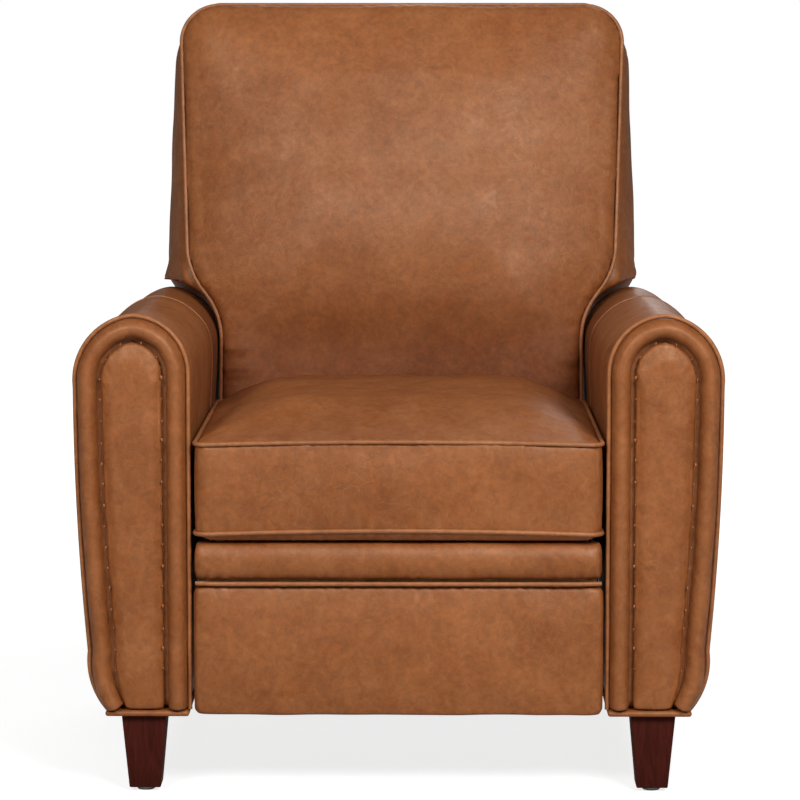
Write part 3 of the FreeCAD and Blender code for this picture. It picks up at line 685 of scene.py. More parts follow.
def grain_group():
    """Wood grain, which runs along the axis that Stretch scales least."""
    group, source, sink = new_group("wood grain", {"Dark": "Color", "Light": "Color", "Stretch": "Vector"})
    place = coordinates(group)
    stretched = vector_node(group, "MULTIPLY", place, source.outputs["Stretch"])
    streak = noise_value(group, stretched, 2.0, 6, 0.65, 1.4)
    pores = noise_value(group, stretched, 9.0, 4, 0.7, 0.3)
    share = spread(group, streak, 0.32, 0.7)
    colour = mix_colour(group, share, source.outputs["Dark"], source.outputs["Light"])
    pore_share = spread(group, pores, 0.58, 0.75, 0.0, 0.5)
    colour = mix_colour(group, pore_share, colour, source.outputs["Dark"])
    group.links.new(colour, sink.inputs["Color"])
    group.links.new(spread(group, pores, 0.2, 0.8, 0.0, 1.0), sink.inputs["Roughness"])
    group.links.new(math_node(group, "SUBTRACT", streak, pore_share), sink.inputs["Height"])
    return group


def wear_group():
    """Cloudy wear and fine marks for metal, plastic and cloth."""
    greys = {"Base": "Color", "Mark": "Color"}
    levels = {"Scale": "Float", "Rough Low": "Float", "Rough High": "Float"}
    group, source, sink = new_group("worn finish", greys | levels)
    place = coordinates(group)
    marks = {"Detail": 6.0, "Roughness": 0.7}
    noise = add_node(group, "TexNoise", marks, Vector=place, Scale=source.outputs["Scale"])
    fine = noise_value(group, place, 900, 3, 0.6)
    share = spread(group, noise.outputs["Fac"], 0.4, 0.72)
    colour = mix_colour(group, share, source.outputs["Base"], source.outputs["Mark"])
    group.links.new(colour, sink.inputs["Color"])
    span = math_node(group, "SUBTRACT", source.outputs["Rough High"], source.outputs["Rough Low"])
    rough = math_node(group, "ADD", source.outputs["Rough Low"], math_node(group, "MULTIPLY", span, share))
    group.links.new(rough, sink.inputs["Roughness"])
    group.links.new(fine, sink.inputs["Height"])
    return group


def blank_material(name):
    """A new material, its tree and its shader."""
    material = bpy.data.materials.new(name)
    material.use_nodes = True
    return material, material.node_tree, material.node_tree.nodes["Principled BSDF"]


def new_material(name, group, values, shader, bump, bump_depth):
    """A material that takes its colour, roughness and relief from a group."""
    material, tree, surface = blank_material(name)
    finish = tree.nodes.new("ShaderNodeGroup")
    finish.node_tree = group
    for label, value in values.items():
        finish.inputs[label].default_value = value
    for label, value in shader.items():
        surface.inputs[label].default_value = value
    look = finish.outputs
    relief = add_node(tree, "Bump", {"Strength": bump, "Distance": bump_depth}, Height=look["Height"])
    sockets = (surface.inputs[label] for label in ("Base Color", "Roughness", "Normal"))
    feed(tree, sockets, (look["Color"], look["Roughness"], relief.outputs["Normal"]))
    return material


def dyed(tone, deep, pale):
    return {"Tone": (*tone, 1), "Deep": (*deep, 1), "Pale": (*pale, 1)}


def worn(base, mark, scale, low, high):
    return {"Base": (*base, 1), "Mark": (*mark, 1), "Scale": scale, "Rough Low": low, "Rough High": high}


def grained(dark, light, stretch):
    return {"Dark": (*dark, 1), "Light": (*light, 1), "Stretch": stretch}


HIDE = hide_group()
GRAIN = grain_group()
WEAR = wear_group()

LEATHER = dyed((0.325, 0.102, 0.026), (0.235, 0.064, 0.013), (0.44, 0.18, 0.069))
LEATHER_SHEEN = {"Specular IOR Level": 0.5, "Specular Tint": (1.0, 0.84, 0.68, 1)}
# The welts' leather is paler than the cover: partly real, as stretched leather, and partly a painted
# highlight for the light on the round cords
WELT = dyed((0.39, 0.142, 0.046), (0.29, 0.094, 0.025), (0.49, 0.21, 0.085))
LEG_WOOD = grained((0.042, 0.008, 0.0052), (0.08, 0.0148, 0.0096), (60.0, 60.0, 5.0))
FRAME_WOOD = grained((0.33, 0.2, 0.1), (0.55, 0.38, 0.21), (40.0, 8.0, 40.0))
STEEL = worn((0.02, 0.02, 0.022), (0.045, 0.044, 0.043), 70.0, 0.36, 0.55)
FASTENER = worn((0.42, 0.42, 0.43), (0.25, 0.24, 0.23), 140.0, 0.25, 0.45)
SPRING = worn((0.24, 0.24, 0.25), (0.13, 0.12, 0.12), 110.0, 0.3, 0.5)
GLIDE = worn((0.57, 0.55, 0.52), (0.42, 0.4, 0.37), 90.0, 0.4, 0.6)
CLOTH = worn((0.012, 0.012, 0.013), (0.03, 0.03, 0.031), 240.0, 0.8, 0.95)

# Each finish: its group, the group's values, the shader's values, strength and depth of its relief
FINISHES = {
    "leather": (HIDE, LEATHER, LEATHER_SHEEN, 0.35, 0.0005),
    "leather_welt": (HIDE, WELT, {"Specular IOR Level": 0.4}, 0.3, 0.0003),
    "leg_wood": (GRAIN, LEG_WOOD, {"Specular IOR Level": 0.04}, 0.1, 0.0003),
    "frame_wood": (GRAIN, FRAME_WOOD, {"Specular IOR Level": 0.3}, 0.2, 0.0004),
    "steel": (WEAR, STEEL, {"Specular IOR Level": 0.5}, 0.12, 0.0002),
    "fastener": (WEAR, FASTENER, {"Metallic": 1.0}, 0.08, 0.0002),
    "spring": (WEAR, SPRING, {"Metallic": 1.0}, 0.08, 0.0002),
    "glide": (WEAR, GLIDE, {"Specular IOR Level": 0.4}, 0.1, 0.0002),
    "cloth": (WEAR, CLOTH, {"Specular IOR Level": 0.15}, 0.5, 0.0004),
}
MATERIALS = {name: new_material(name, *finish) for name, finish in FINISHES.items()}


# Seat
def seat_profile(points):
    """How much of its full crown the seat has at each point."""
    u = np.clip(np.abs(points[:, 0]) / SEAT_HALF, 0, 1)
    w = (points[:, 1] - SEAT_FRONT_Y) / (SEAT_REAR_Y - SEAT_FRONT_Y)
    across = (1 - u**5) ** 0.7
    along = smooth_step(-0.06, 0.34, w) ** 1.1 * (1 - 0.45 * smooth_step(0.88, 1.0, w))
    return across * along


def seat_ring(y, half):
    """A section of the seat cushion across the chair."""
    low, high = SEAT_WELT_Z
    x = np.linspace(-half, half, 60)
    places = np.column_stack([x * SEAT_HALF / half, np.full(60, y)])
    front = smooth_step(SEAT_FRONT_Y + SEAT_BOW_REACH, SEAT_FRONT_Y, y)
    rise = (1 - (x / half) ** 2) * front
    top = high + SEAT_BOW[1] * rise + SEAT_CROWN * seat_profile(places)
    edge = np.minimum(half - np.abs(x), y - SEAT_FRONT_Y + 0.004)
    fall = low - SEAT_BOTTOM_Z + SEAT_BOW[0] * rise
    under = low + SEAT_BOW[0] * rise - fall * smooth_step(0.0, SEAT_UNDER_ROUND, edge)
    ring = [(a, y, z) for a, z in zip(x, under)] + [(a, y, z) for a, z in zip(x[::-1], top[::-1])]
    return resample(ring, count=200, closed=True)


def make_seat():
    turns = np.radians(np.linspace(0, 90, 8))
    ends = [(SEAT_CORNER * (1 - math.cos(a)), SEAT_CORNER * (1 - math.sin(a))) for a in turns]
    stations = [(SEAT_FRONT_Y + step, SEAT_HALF - draw) for step, draw in ends]
    middle = np.linspace(SEAT_FRONT_Y + SEAT_CORNER, SEAT_REAR_Y - SEAT_CORNER, 40)[1:-1]
    stations += [(y, SEAT_HALF) for y in middle]
    stations += [(SEAT_REAR_Y - step, SEAT_HALF - draw) for step, draw in reversed(ends)]
    cushion = rolled("seat_cushion_leather", [seat_ring(y, half) for y, half in stations])
    remesh(cushion, SEAT_CELL)
    relax(cushion, 2)
    points, normals = points_of(cushion), normals_of(cushion)
    x, y, z = points.T
    top = np.clip(normals[:, 2], 0, 1) * SEAT_SWELL["top"] * seat_profile(points)
    upright = smooth_step(0, 0.045, np.minimum(z - SEAT_WELT_Z[0], SEAT_WELT_Z[1] - z))
    across = 1 - (np.abs(x) / SEAT_HALF) ** 6
    front = np.clip(-normals[:, 1], 0, 1) * SEAT_SWELL["front"] * upright * across
    sides = np.abs(normals[:, 0]) * SEAT_SWELL["sides"] * upright
    rear = np.clip(normals[:, 1], 0, 1) * SEAT_SWELL["rear"] * upright
    swell(cushion, top + front + sides + rear, pressure=SEAT_PRESSURE)
    refine(cushion)
    upper = seat_loop(SEAT_WELT_Z[1], SEAT_BOW[1])
    lower = seat_loop(SEAT_WELT_Z[0], SEAT_BOW[0])

    def off_seams(p):
        return smooth_step(0.345, 0.37, p[:, 2]) * (SEAT_HALF - np.abs(p[:, 0]) > 0.006)

    uneven(cushion, amount=0.0007, wave=0.09, seed=11, mask=off_seams)
    for seam, seed in ((upper, 5), (lower, 6)):
        pucker(cushion, np.vstack([seam, seam[:1]]), reach=0.026, depth=0.0009, pitch=0.016, seed=seed)
    finish_piece(smoothed(cushion), "seat", "leather", "seat_cushion", fill=0.8)
    for name, seam in (("upper", upper), ("lower", lower)):
        welt = cord_mesh(f"seat_welt_{name}_piping", seam, WELT_RADIUS, closed=True)
        finish_piece(smoothed(welt), "seat", "leather_welt", f"seat_welt_{name}")


def make_deck():
    """The cloth stretched over the seat's springs."""
    low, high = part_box("seat_deck")
    deselect()
    size = high - low
    bpy.ops.mesh.primitive_grid_add(x_subdivisions=24, y_subdivisions=24, size=1)
    deck = added("seat_deck_cloth")
    flat = points_of(deck)
    sag = DECK_SAG * (1 - (2 * flat[:, 0]) ** 2) * (1 - (2 * flat[:, 1]) ** 2)
    middle = (low + high) / 2
    x, y = flat[:, 0] * size.x, flat[:, 1] * size.y + middle.y
    place_points(deck, np.column_stack([x, y, high.z - DECK_DROP - sag]))
    apply_modifier(deck, "SOLIDIFY", thickness=DECK_CLOTH, offset=0)
    finish_piece(smoothed(deck), "seat", "cloth", "seat_deck")


# Back
def back_crown(v):
    """How far the back cushion swells ahead at height v, with no kinks."""
    heights = v + np.linspace(-BACK_CROWN_BLUR, BACK_CROWN_BLUR, 15)
    return np.interp(heights, BACK_CROWN_AT, BACK_CROWN).mean()


def back_ring(v):
    """A section of the back cushion, in the upright back's own axes."""
    half = back_half_width(v)
    x = np.linspace(-half, half, 90)
    u = np.abs(x) / half
    to_edge = np.minimum(half - np.abs(x), BACK_TOP - v)
    rounding = np.sqrt(1 - (1 - np.clip(to_edge / BACK_ROUND, 0, 1)) ** 2)
    near_top = np.clip((BACK_TOP - v) / 0.05, 0, 1) ** 0.6
    crown = back_crown(v) * near_top
    depth = -BACK_EDGE - BACK_ROUND_DEPTH * rounding - crown * (1 - u**2.6)
    ring = [(a, d, v) for a, d in zip(x, depth)] + [(half, 0.0005, v), (-half, 0.0005, v)]
    return resample(ring, count=220, closed=True)


def back_seam():
    """The line of the welt round the back cushion, from one foot over the top to the other."""
    top = BACK_TOP + 0.001
    right = [(back_half_width(v) + 0.001, BACK_WELT_DEPTH, v) for v in back_levels()]
    right[-1] = (right[-1][0], BACK_WELT_DEPTH, top)
    right.append((0.0, BACK_WELT_DEPTH, top))
    left = [(-x, depth, v) for x, depth, v in reversed(right[:-1])]
    return resample(right + left, spacing=WELT_STEP)


def make_back():
    cushion = rolled("back_cushion_leather", [back_ring(v) for v in back_levels()])
    remesh(cushion, BACK_CELL)
    relax(cushion, 3)
    points, normals = points_of(cushion), normals_of(cushion)
    x, depth, v = points.T
    half = np.array([back_half_width(level) for level in v])
    to_edge = np.minimum(half - np.abs(x), BACK_TOP - v)
    ahead = smooth_step(0.0, 0.085, to_edge) * np.clip(-normals[:, 1], 0, 1)
    lumbar = 1 + 0.35 * np.exp(-(((v - 0.27) / 0.09) ** 2)) - 0.9 * smooth_step(0.2, 0.1, v)
    swell(cushion, BACK_SWELL * ahead * lumbar, pressure=BACK_PRESSURE)
    refine(cushion)

    def front(p):
        return smooth_step(-BACK_EDGE, -BACK_EDGE - 0.008, p[:, 1])

    def low_sides(p):
        return front(p) * smooth_step(0.2, 0.1, p[:, 2])

    uneven(cushion, amount=0.0011, wave=0.13, seed=21, mask=front)
    seam = back_seam()
    pucker(cushion, seam, reach=0.04, depth=0.0012, pitch=0.019, seed=22, mask=front)
    pucker(cushion, seam, reach=0.06, depth=0.003, pitch=0.034, seed=23, mask=low_sides)
    cushion.data.transform(LEAN_MATRIX)
    finish_piece(smoothed(cushion), "back", "leather", "back_cushion", fill=0.75)
    welt = cord_mesh("back_welt_piping", seam, WELT_RADIUS)
    welt.data.transform(LEAN_MATRIX)
    finish_piece(smoothed(welt), "back", "leather_welt", "back_welt")


def wing_foot(x, depth):
    """Height of the lower edge of the back's side: it follows the arm's shoulder below it."""
    shoulder = np.array(arm_outline(0.0)[1:18])
    drop = ARM_TOP_Z - np.interp(np.abs(x) + WING_ARM_GAP, shoulder[:, 0], shoulder[:, 1])
    reach = depth - drop * math.tan(BACK_LEAN)
    z = np.interp(reach, WING_FOOT_DEPTHS, WING_FOOT_Z) - drop
    z = z + WING_HEEL_RISE * smooth_step(*WING_HEEL_X, np.abs(x)) * smooth_step(*WING_HEEL_DEPTH, reach)
    return (z - BACK_PLACE.z + depth * math.sin(BACK_LEAN)) / math.cos(BACK_LEAN)


def wing_side(depth, inset):
    """The side and the top of the back at a depth behind its front, from a foot to the middle of the top."""
    low = np.interp(depth, WING_DEPTHS, WING_LOW_HALF) - inset
    high = np.interp(depth, WING_DEPTHS, WING_HIGH_HALF) - inset
    corner = BACK_CORNER - inset / 2
    top = BACK_TOP - 0.001 - inset
    bottom = wing_foot(low, depth) + inset * 0.6
    shoulder = top - corner
    v = np.linspace(bottom, shoulder, 40)
    share = (v - WING_START_V) / (shoulder - WING_START_V)
    kick = WING_KICK * np.exp(-(v - bottom) / 0.02) * smooth_step(0.0, 0.06, depth)
    side = list(zip(low + (high - low) * share + kick, v))
    turns = np.radians(np.linspace(8, 90, 10))
    side += [(high - corner + corner * math.cos(a), shoulder + corner * math.sin(a)) for a in turns]
    return [(a, depth, b) for a, b in side]


def wing_ring(depth, inset):
    """The outline of the wide upper part of the back at a depth behind its front."""
    side = wing_side(depth, inset)
    foot_x = np.linspace(WING_FOOT_X, side[0][0] - 0.004, 16)
    feet = [(x, depth, wing_foot(x, depth) + inset * 0.6) for x in foot_x]
    right = feet + side
    ring = right + [(-a, d, b) for a, d, b in reversed(right)]
    return resample(ring, count=320, closed=True)


def make_shell():
    steps = [(depth, 0.0) for depth in (SHELL_FRONT, 0.02, 0.045, 0.07, 0.1, 0.14)]
    steps += [(0.162, 0.0005), (0.169, 0.003), (0.174, 0.0075), (BACK_DEPTH, 0.014)]
    shell = rolled("back_shell_leather", [wing_ring(depth, inset) for depth, inset in steps])
    low = block(
        "back_shell_low",
        (-SHELL_LOW_HALF, SHELL_FRONT, SHELL_LOW_V[0]),
        (SHELL_LOW_HALF, BACK_DEPTH, SHELL_LOW_V[1]),
        SHELL_LOW_CORNER,
    )
    joined(shell, [low])
    remesh(shell, SHELL_CELL)
    relax(shell, 6)
    points, normals = points_of(shell), normals_of(shell)
    x, depth, v = points.T
    bottom = wing_foot(x, depth)
    off_front = smooth_step(0.006, 0.03, depth)
    wing = smooth_step(0.0, 0.03, v - bottom) * off_front
    sides = np.abs(normals[:, 0]) * SHELL_SWELL["sides"] * wing * (np.abs(x) > 0.27)
    top = np.clip(normals[:, 2], 0, 1) * SHELL_SWELL["top"] * (v > 0.5) * off_front
    to_edge = np.minimum(np.minimum(0.33 - np.abs(x), BACK_TOP - v), v - SHELL_LOW_V[0])
    rear = np.clip(normals[:, 1], 0, 1) * SHELL_SWELL["rear"] * smooth_step(0.01, 0.12, to_edge)
    swell(shell, sides + top + rear)
    refine(shell)

    def sides_and_rear(p):
        return smooth_step(0.02, 0.05, p[:, 1]) * (np.abs(p[:, 0]) > 0.26) + (p[:, 1] > 0.165)

    uneven(shell, amount=0.0006, wave=0.12, seed=31, mask=sides_and_rear)
    surface = BVHTree.FromPolygons(
        [v.co.copy() for v in shell.data.vertices], [list(p.vertices) for p in shell.data.polygons]
    )
    rear_line = rear_seam(surface)
    shell.data.transform(LEAN_MATRIX)
    finish_piece(smoothed(shell), "back", "leather", "back_shell", fill=0.6)
    welt = cord_mesh("back_rear_welt", rear_line, WELT_RADIUS * 0.9)
    welt.data.transform(LEAN_MATRIX)
    finish_piece(smoothed(welt), "back", "leather_welt")


def rear_seam(surface):
    """The line of the welt between the back's sides and its rear panel, laid on the shell."""
    right = []
    for x, _, v in wing_side(0.17, 0.012) + [(0.0, 0.17, BACK_TOP - 0.013)]:
        spot, normal, _, _ = surface.ray_cast(Vector((x, 0.3, v)), Vector((0, -1, 0)))
        if spot is not None:
            right.append(tuple(spot + normal * 0.001))
    left = [(-x, depth, v) for x, depth, v in reversed(right[:-1])]
    return resample(right + left, spacing=0.006)


# Arms
def arm_ring(inset, y):
    line = np.array([(x, y, z) for x, z in arm_outline(inset)])
    line[:, 2] -= ARM_DROP * smooth_step(*ARM_DROP_Y, y) * smooth_step(*ARM_DROP_Z, line[:, 2])
    return resample(line, count=220, closed=True)


def make_arm_body():
    """The stuffed cover over the arm's top, sides and rear."""
    start = ARM_START_INSET
    stations = [(ARM_FRONT_Y, start), (ARM_FRONT_Y + 0.01, start)]
    stations += [(y, start) for y in np.linspace(ARM_FRONT_Y + 0.03, ARM_REAR_Y - ARM_REAR_ROUND, 30)]
    for turn in np.radians(np.linspace(15, 90, 6)):
        y = ARM_REAR_Y - ARM_REAR_ROUND + ARM_REAR_ROUND * math.sin(turn)
        stations.append((y, start + ARM_REAR_DRAW * (1 - math.cos(turn))))
    body = rolled("arm_cover_right", [arm_ring(inset, y) for y, inset in stations])
    remesh(body, ARM_CELL)
    relax(body, 4)
    points, normals = points_of(body), normals_of(body)
    x, y, z = points.T
    off_front = smooth_step(0.0, 0.03, y - ARM_FRONT_Y)
    outer = np.clip(normals[:, 0], 0, 1) * ARM_SWELL["outer"]
    top_room = ARM_SWELL["top"] + ARM_SWELL["front_top"] * smooth_step(0.05, -0.1, y)
    top = np.clip(normals[:, 2], 0, 1) * top_room
    inner_room = ARM_SWELL["inner"] * smooth_step(0.44, 0.52, z) + ARM_SWELL["low"]
    inner = np.clip(-normals[:, 0], 0, 1) * inner_room
    rear = np.clip(normals[:, 1], 0, 1) * ARM_SWELL["rear"]
    standing = smooth_step(ARM_FOOT_Z, ARM_FOOT_Z + 0.04, z)
    swell(body, (outer + top + inner + rear) * standing * np.maximum(off_front, normals[:, 1] > 0.5))
    refine(body)

    def outer_side(p):
        return smooth_step(0.3, 0.33, p[:, 0]) * smooth_step(ARM_FRONT_Y, ARM_FRONT_Y + 0.06, p[:, 1])

    def behind_seam(p):
        return smooth_step(ARM_FRONT_Y + 0.002, ARM_FRONT_Y + 0.01, p[:, 1])

    uneven(body, amount=0.0006, wave=0.11, seed=41, mask=outer_side)
    seam = [(x, ARM_FRONT_Y, z) for x, z in arm_outline(ARM_START_INSET)]
    pucker(body, seam, reach=0.03, depth=0.0008, pitch=0.017, seed=42, mask=behind_seam)
    return smoothed(body)


def make_border():
    """The stuffed roll round the arm's front."""
    path = resample(arm_outline(ROLL_INSET), spacing=SEAM_STEP)
    ways = np.gradient(path, axis=0)
    ways /= np.linalg.norm(ways, axis=1)[:, None]
    rings = []
    reach = ROLL_BACK_Y - ROLL_FRONT_Y
    for (px, pz), (wx, wz) in zip(path, ways):
        ring = []
        for step in range(24):
            angle = 2 * math.pi * step / 24
            side, lift = math.cos(angle), math.sin(angle)
            out = ROLL_RADIUS * side
            ahead = reach * lift**0.85 if lift > 0 else 0.0
            ring.append((px + wz * out, ROLL_BACK_Y - ahead, max(pz - wx * out, ARM_FOOT_Z)))
        rings.append(ring)
    roll = rolled("arm_border_roll_right", rings)
    seam = [(x, ROLL_BACK_Y - 0.008, z) for x, z in arm_outline(FACING_INSET - 0.001)]
    refine(roll)
    pucker(roll, seam, reach=0.016, depth=0.0006, pitch=0.026, seed=52)
    uneven(roll, amount=0.00035, wave=0.07, seed=53, mask=lambda p: (ROLL_BACK_Y - p[:, 1]) > 0.004)
    return smoothed(roll)


def make_facing():
    """The flat panel set into the arm's front."""
    steps = [(ROLL_BACK_Y, 0.0), (FACING_FRONT_Y + 0.005, 0.0)]
    steps += [(FACING_FRONT_Y + 0.002, 0.001), (FACING_FRONT_Y, 0.004)]
    rings = [arm_ring(FACING_INSET + inset, y) for y, inset in steps]
    panel = rolled("arm_facing_panel_right", rings)
    remesh(panel, FACING_CELL)
    relax(panel, 4)
    points, normals = points_of(panel), normals_of(panel)
    inside = smooth_step(0.0, 0.03, points[:, 2] - ARM_FOOT_Z)
    swell(panel, np.clip(-normals[:, 1], 0, 1) * FACING_SWELL * inside, pressure=FACING_PRESSURE)
    refine(panel)
    seam = [(x, FACING_FRONT_Y, z) for x, z in arm_outline(FACING_INSET + 0.002)]
    pucker(panel, seam, reach=0.014, depth=0.0004, pitch=0.026, seed=62)
    uneven(panel, amount=0.0004, wave=0.06, seed=63, mask=lambda p: p[:, 1] < FACING_FRONT_Y + 0.003)
    return smoothed(panel)


def make_tacks():
    """Small gathers of thread in the groove round the panel, one shape copied along the seam."""
    seam = resample(arm_outline(FACING_INSET + 0.0003), spacing=TACK_PITCH)
    deselect()
    bpy.ops.mesh.primitive_uv_sphere_add(segments=8, ring_count=6, radius=TACK_RADIUS)
    tack = added("arm_tacks_right")
    shape = points_of(tack) * np.array([1.0, 1.0, 1.7])
    pieces = []
    draw = np.random.RandomState(71)
    for x, z in seam[2:-2]:
        copy = own_copy(tack)
        size = draw.uniform(0.6, 1.15)
        place = np.array([x, FACING_FRONT_Y + 0.0008, z]) + draw.normal(size=3) * (0.0004, 0.0002, 0.0012)
        place_points(copy, shape * size + place)
        pieces.append(copy)
    tacks = joined(pieces[0], pieces[1:])
    bpy.data.objects.remove(tack)
    tacks.name = tacks.data.name = "arm_tacks_right"
    return smoothed(tacks)


def arm_seam_line(body):
    """The seam over the arm, laid on its cover."""
    surface = BVHTree.FromObject(body, bpy.context.evaluated_depsgraph_get())
    middle = Vector((ARM_CREST_X, ARM_SEAM_Y, ARM_SEAM_MIDDLE_Z))
    line = []
    for x, z in resample(arm_outline(0.02), spacing=SEAM_STEP):
        if z > 0.3 and not (x > 0.36 and z < 0.33):
            way = (Vector((x, ARM_SEAM_Y, z)) - middle).normalized()
            hit, _, _, _ = surface.ray_cast(middle + way * 0.3, -way)
            if hit is not None:
                line.append(tuple(hit))
    return resample(line, spacing=SEAM_STEP)


def make_arms():
    body = make_arm_body()
    seam = cord_mesh("arm_seam_right", arm_seam_line(body), SEAM_RADIUS)
    welt_y = ARM_FRONT_Y - 0.0031
    welt_line = resample([(x, welt_y, z) for x, z in arm_outline(WELT_INSET)], spacing=SEAM_STEP)
    welt = cord_mesh("arm_welt_piping_right", welt_line, WELT_RADIUS)
    sole = block("arm_sole_strip_right", *zip(SOLE_X, SOLE_Y, SOLE_Z), SOLE_CORNER)
    right = [
        ("arm_pad", body, "leather", 0.7),
        ("arm_border", make_border(), "leather", 0.8),
        ("arm_facing", make_facing(), "leather", 0.4),
        ("arm_welt", smoothed(welt), "leather_welt", None),
        ("arm_sole", smoothed(sole), "leather", None),
        (None, smoothed(seam), "leather_welt", None),
        (None, make_tacks(), "leather_welt", None),
    ]
    for node, piece, finish, fill in right:
        other = mirrored_copy(piece, piece.name.replace("right", "left"))
        for side, one in (("right", piece), ("left", other)):
            nodes = [f"{node}_{side}"] if node else []
            finish_piece(one, "base", finish, *nodes, fill=fill)


# Footrest
def foot_ring(share, fullness, pad):
    """A section of a footrest pad, across its height."""
    low = pad["z"][0] + pad["draw"] * (1 - fullness)
    high = pad["z"][1] - pad["draw"] * (1 - fullness)
    rim = FOOT_BACK_Y - pad["edge"] * (0.55 + 0.45 * fullness)
    z = np.linspace(low, high, 30)
    t = 2 * (z - low) / (high - low) - 1
    ahead = rim - pad["crown"] * (0.6 + 0.4 * fullness) * (1 - np.abs(t) ** 2.2) ** 0.6
    x = share * pad["half"]
    ring = [(x, FOOT_BACK_Y, low), *[(x, y, h) for y, h in zip(ahead, z)], (x, FOOT_BACK_Y, high)]
    return resample(ring, count=120, closed=True)


def make_foot_pad(kind, seed):
    sizes = FOOT_PADS[kind]
    half, (low, high) = sizes["half"], sizes["z"]
    ends = [(1.0, 0.3), (0.998, 0.5), (0.993, 0.72), (0.982, 0.88), (0.955, 0.97), (0.9, 1.0)]
    shares = [(-s, f) for s, f in ends]
    shares += [(s, 1.0) for s in np.linspace(-0.8, 0.8, 17)]
    shares += list(reversed(ends))
    pad = rolled(f"footrest_{kind}_leather", [foot_ring(s, f, sizes) for s, f in shares])
    remesh(pad, FOOT_CELL)
    relax(pad, 3)
    points, normals = points_of(pad), normals_of(pad)
    x, _, z = points.T
    to_edge = np.minimum(np.minimum(z - low, high - z), half - np.abs(x))
    swell(pad, np.clip(-normals[:, 1], 0, 1) * sizes["room"] * smooth_step(0.0, 0.03, to_edge))
    refine(pad)

    def front(p):
        return smooth_step(FOOT_BACK_Y - 0.012, FOOT_BACK_Y - 0.02, p[:, 1])

    uneven(pad, amount=0.0005, wave=0.1, seed=seed, mask=front)
    seam = [(x, FOOT_WELT_Y, FOOT_WELT_Z) for x in np.linspace(-half, half, 60)]
    pucker(pad, seam, reach=0.03, depth=0.0009, pitch=0.017, seed=seed + 1, mask=front)
    finish_piece(smoothed(pad), "footrest", "leather", f"footrest_{kind}", fill=0.6)


def make_footrest():
    make_foot_pad("panel", 81)
    make_foot_pad("band", 85)
    line = []
    for x in np.linspace(-FOOT_WELT_HALF, FOOT_WELT_HALF, 90):
        tucked_in = 0.004 * smooth_step(0.23, 0.256, abs(x))
        line.append((x, FOOT_WELT_Y + tucked_in, FOOT_WELT_Z))
    welt = cord_mesh("footrest_welt_piping", line, WELT_RADIUS)
    finish_piece(smoothed(welt), "footrest", "leather_welt", "footrest_welt")


# Legs
def make_leg(place, side):
    y, rake = LEG_PLACES[place]
    deselect()
    middle = Vector((SIDES[side] * LEG_X, y, (LEG_TOP_Z + LEG_FOOT_Z) / 2))
    size = (LEG_TOP_SIDE, LEG_TOP_SIDE, LEG_TOP_Z - LEG_FOOT_Z)
    bpy.ops.mesh.primitive_cube_add(size=1, location=middle, scale=size)
    leg = added(f"{place}_leg_{side}_turned")
    bpy.ops.object.transform_apply(location=True, rotation=True, scale=True)
    switch("EDIT")
    bpy.ops.mesh.select_mode(type="VERT")
    bpy.ops.mesh.select_all(action="DESELECT")
    switch("OBJECT")
    for vertex in leg.data.vertices:
        vertex.select = vertex.co.z < middle.z
    switch("EDIT")
    narrow = LEG_FOOT_SIDE / LEG_TOP_SIDE
    foot = (middle.x, middle.y, LEG_FOOT_Z)
    bpy.ops.transform.resize(value=(narrow, narrow, 1), center_override=foot)
    bpy.ops.transform.translate(value=(0, rake, 0))
    bpy.ops.mesh.select_all(action="SELECT")
    bpy.ops.mesh.bevel(offset=LEG_CORNER, segments=3, affect="EDGES")
    switch("OBJECT")
    work_on(leg)
    bpy.ops.object.shade_smooth_by_angle(angle=math.radians(30))
    finish_piece(leg, "base", "leg_wood", f"{place}_leg_{side}")


# Finish on what the frame shows
def dress_frame():
    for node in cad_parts.values():
        for slot in node.material_slots:
            kind = slot.material.name.split(".")[0]
            slot.material = MATERIALS[kind]


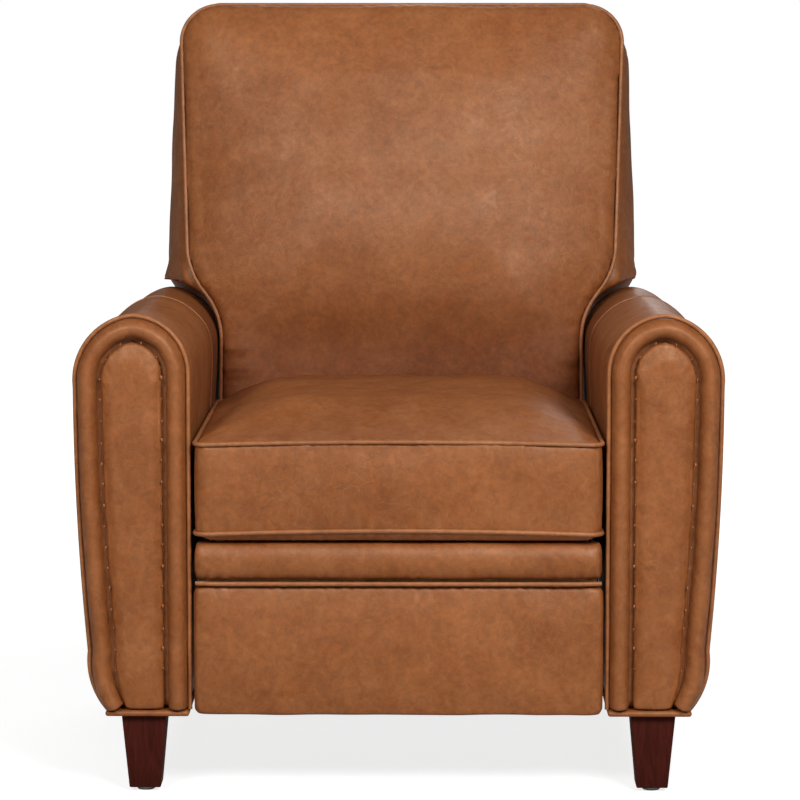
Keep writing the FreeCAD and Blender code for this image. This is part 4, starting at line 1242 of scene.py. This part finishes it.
# Floor, light and camera
def make_floor():
    deselect()
    bpy.ops.mesh.primitive_plane_add(size=FLOOR_SIDE)
    floor = bpy.context.object
    floor.name = "floor"
    material, tree, surface = blank_material("pale floor")
    surface.inputs["Base Color"].default_value = FLOOR_GREY
    surface.inputs["Roughness"].default_value = 0.9
    surface.inputs["Specular IOR Level"].default_value = 0.0
    away = vector_node(tree, "LENGTH", coordinates(tree))
    level = spread(tree, away, *FLOOR_GLOW_REACH, *FLOOR_GLOW)
    strength = math_node(tree, "MULTIPLY", seen_rays(tree, FLOOR_MIRRORED), level)
    glow = add_node(tree, "Emission", {"Color": (1, 1, 1, 1)}, Strength=strength)
    both = tree.nodes.new("ShaderNodeAddShader")
    feed(tree, both.inputs, (surface.outputs[0], glow.outputs[0]))
    tree.links.new(both.outputs[0], tree.nodes["Material Output"].inputs["Surface"])
    floor.data.materials.append(material)


def make_room():
    world = bpy.data.worlds.new("studio")
    SCENE.world = world
    world.use_nodes = True
    tree = world.node_tree
    sky = tree.nodes["Background"]
    way = add_node(tree, "SeparateXYZ", Vector=coordinates(tree, "Generated"))
    mirrored = spread(tree, way.outputs["Y"], *ROOM_TURN, *ROOM_MIRRORED)
    strength = spread(tree, seen_rays(tree, mirrored), 0, 1, ROOM_LIGHT, 1.0)
    sky.inputs["Color"].default_value = (1, 1, 1, 1)
    tree.links.new(strength, sky.inputs["Strength"])


def make_lamps():
    for name, values in LAMPS.items():
        data = bpy.data.lights.new(name, "AREA")
        data.energy = values["power"]
        data.size = values["size"]
        lamp = linked(name, data)
        lamp.location = values["place"]
        aim = LAMP_AIM - Vector(values["place"])
        lamp.rotation_euler = aim.to_track_quat("-Z", "Y").to_euler()


def make_camera():
    data = bpy.data.cameras.new("camera")
    data.sensor_width = 36
    data.lens = CAMERA_LENS
    data.clip_end = 60
    camera = linked("camera", data)
    camera.location = CAMERA_PLACE
    camera.rotation_euler = (math.radians(90 - CAMERA_TILT), 0, math.radians(CAMERA_TURN))
    SCENE.camera = camera
    SCENE.view_settings.view_transform = "Standard"


def seen_rays(tree, mirrored):
    """1 for rays that show the background straight or through glass, and a share for mirrored ones."""
    path = tree.nodes.new("ShaderNodeLightPath")
    glossy = math_node(tree, "MULTIPLY", path.outputs["Is Glossy Ray"], mirrored)
    straight = math_node(tree, "MAXIMUM", path.outputs["Is Camera Ray"], path.outputs["Is Transmission Ray"])
    return math_node(tree, "MAXIMUM", straight, glossy)


make_floor()
make_room()
make_lamps()
make_camera()
dress_frame()
make_seat()
make_deck()
make_back()
make_shell()
make_arms()
make_footrest()
for leg_place in LEG_PLACES:
    for leg_side in SIDES:
        make_leg(leg_place, leg_side)
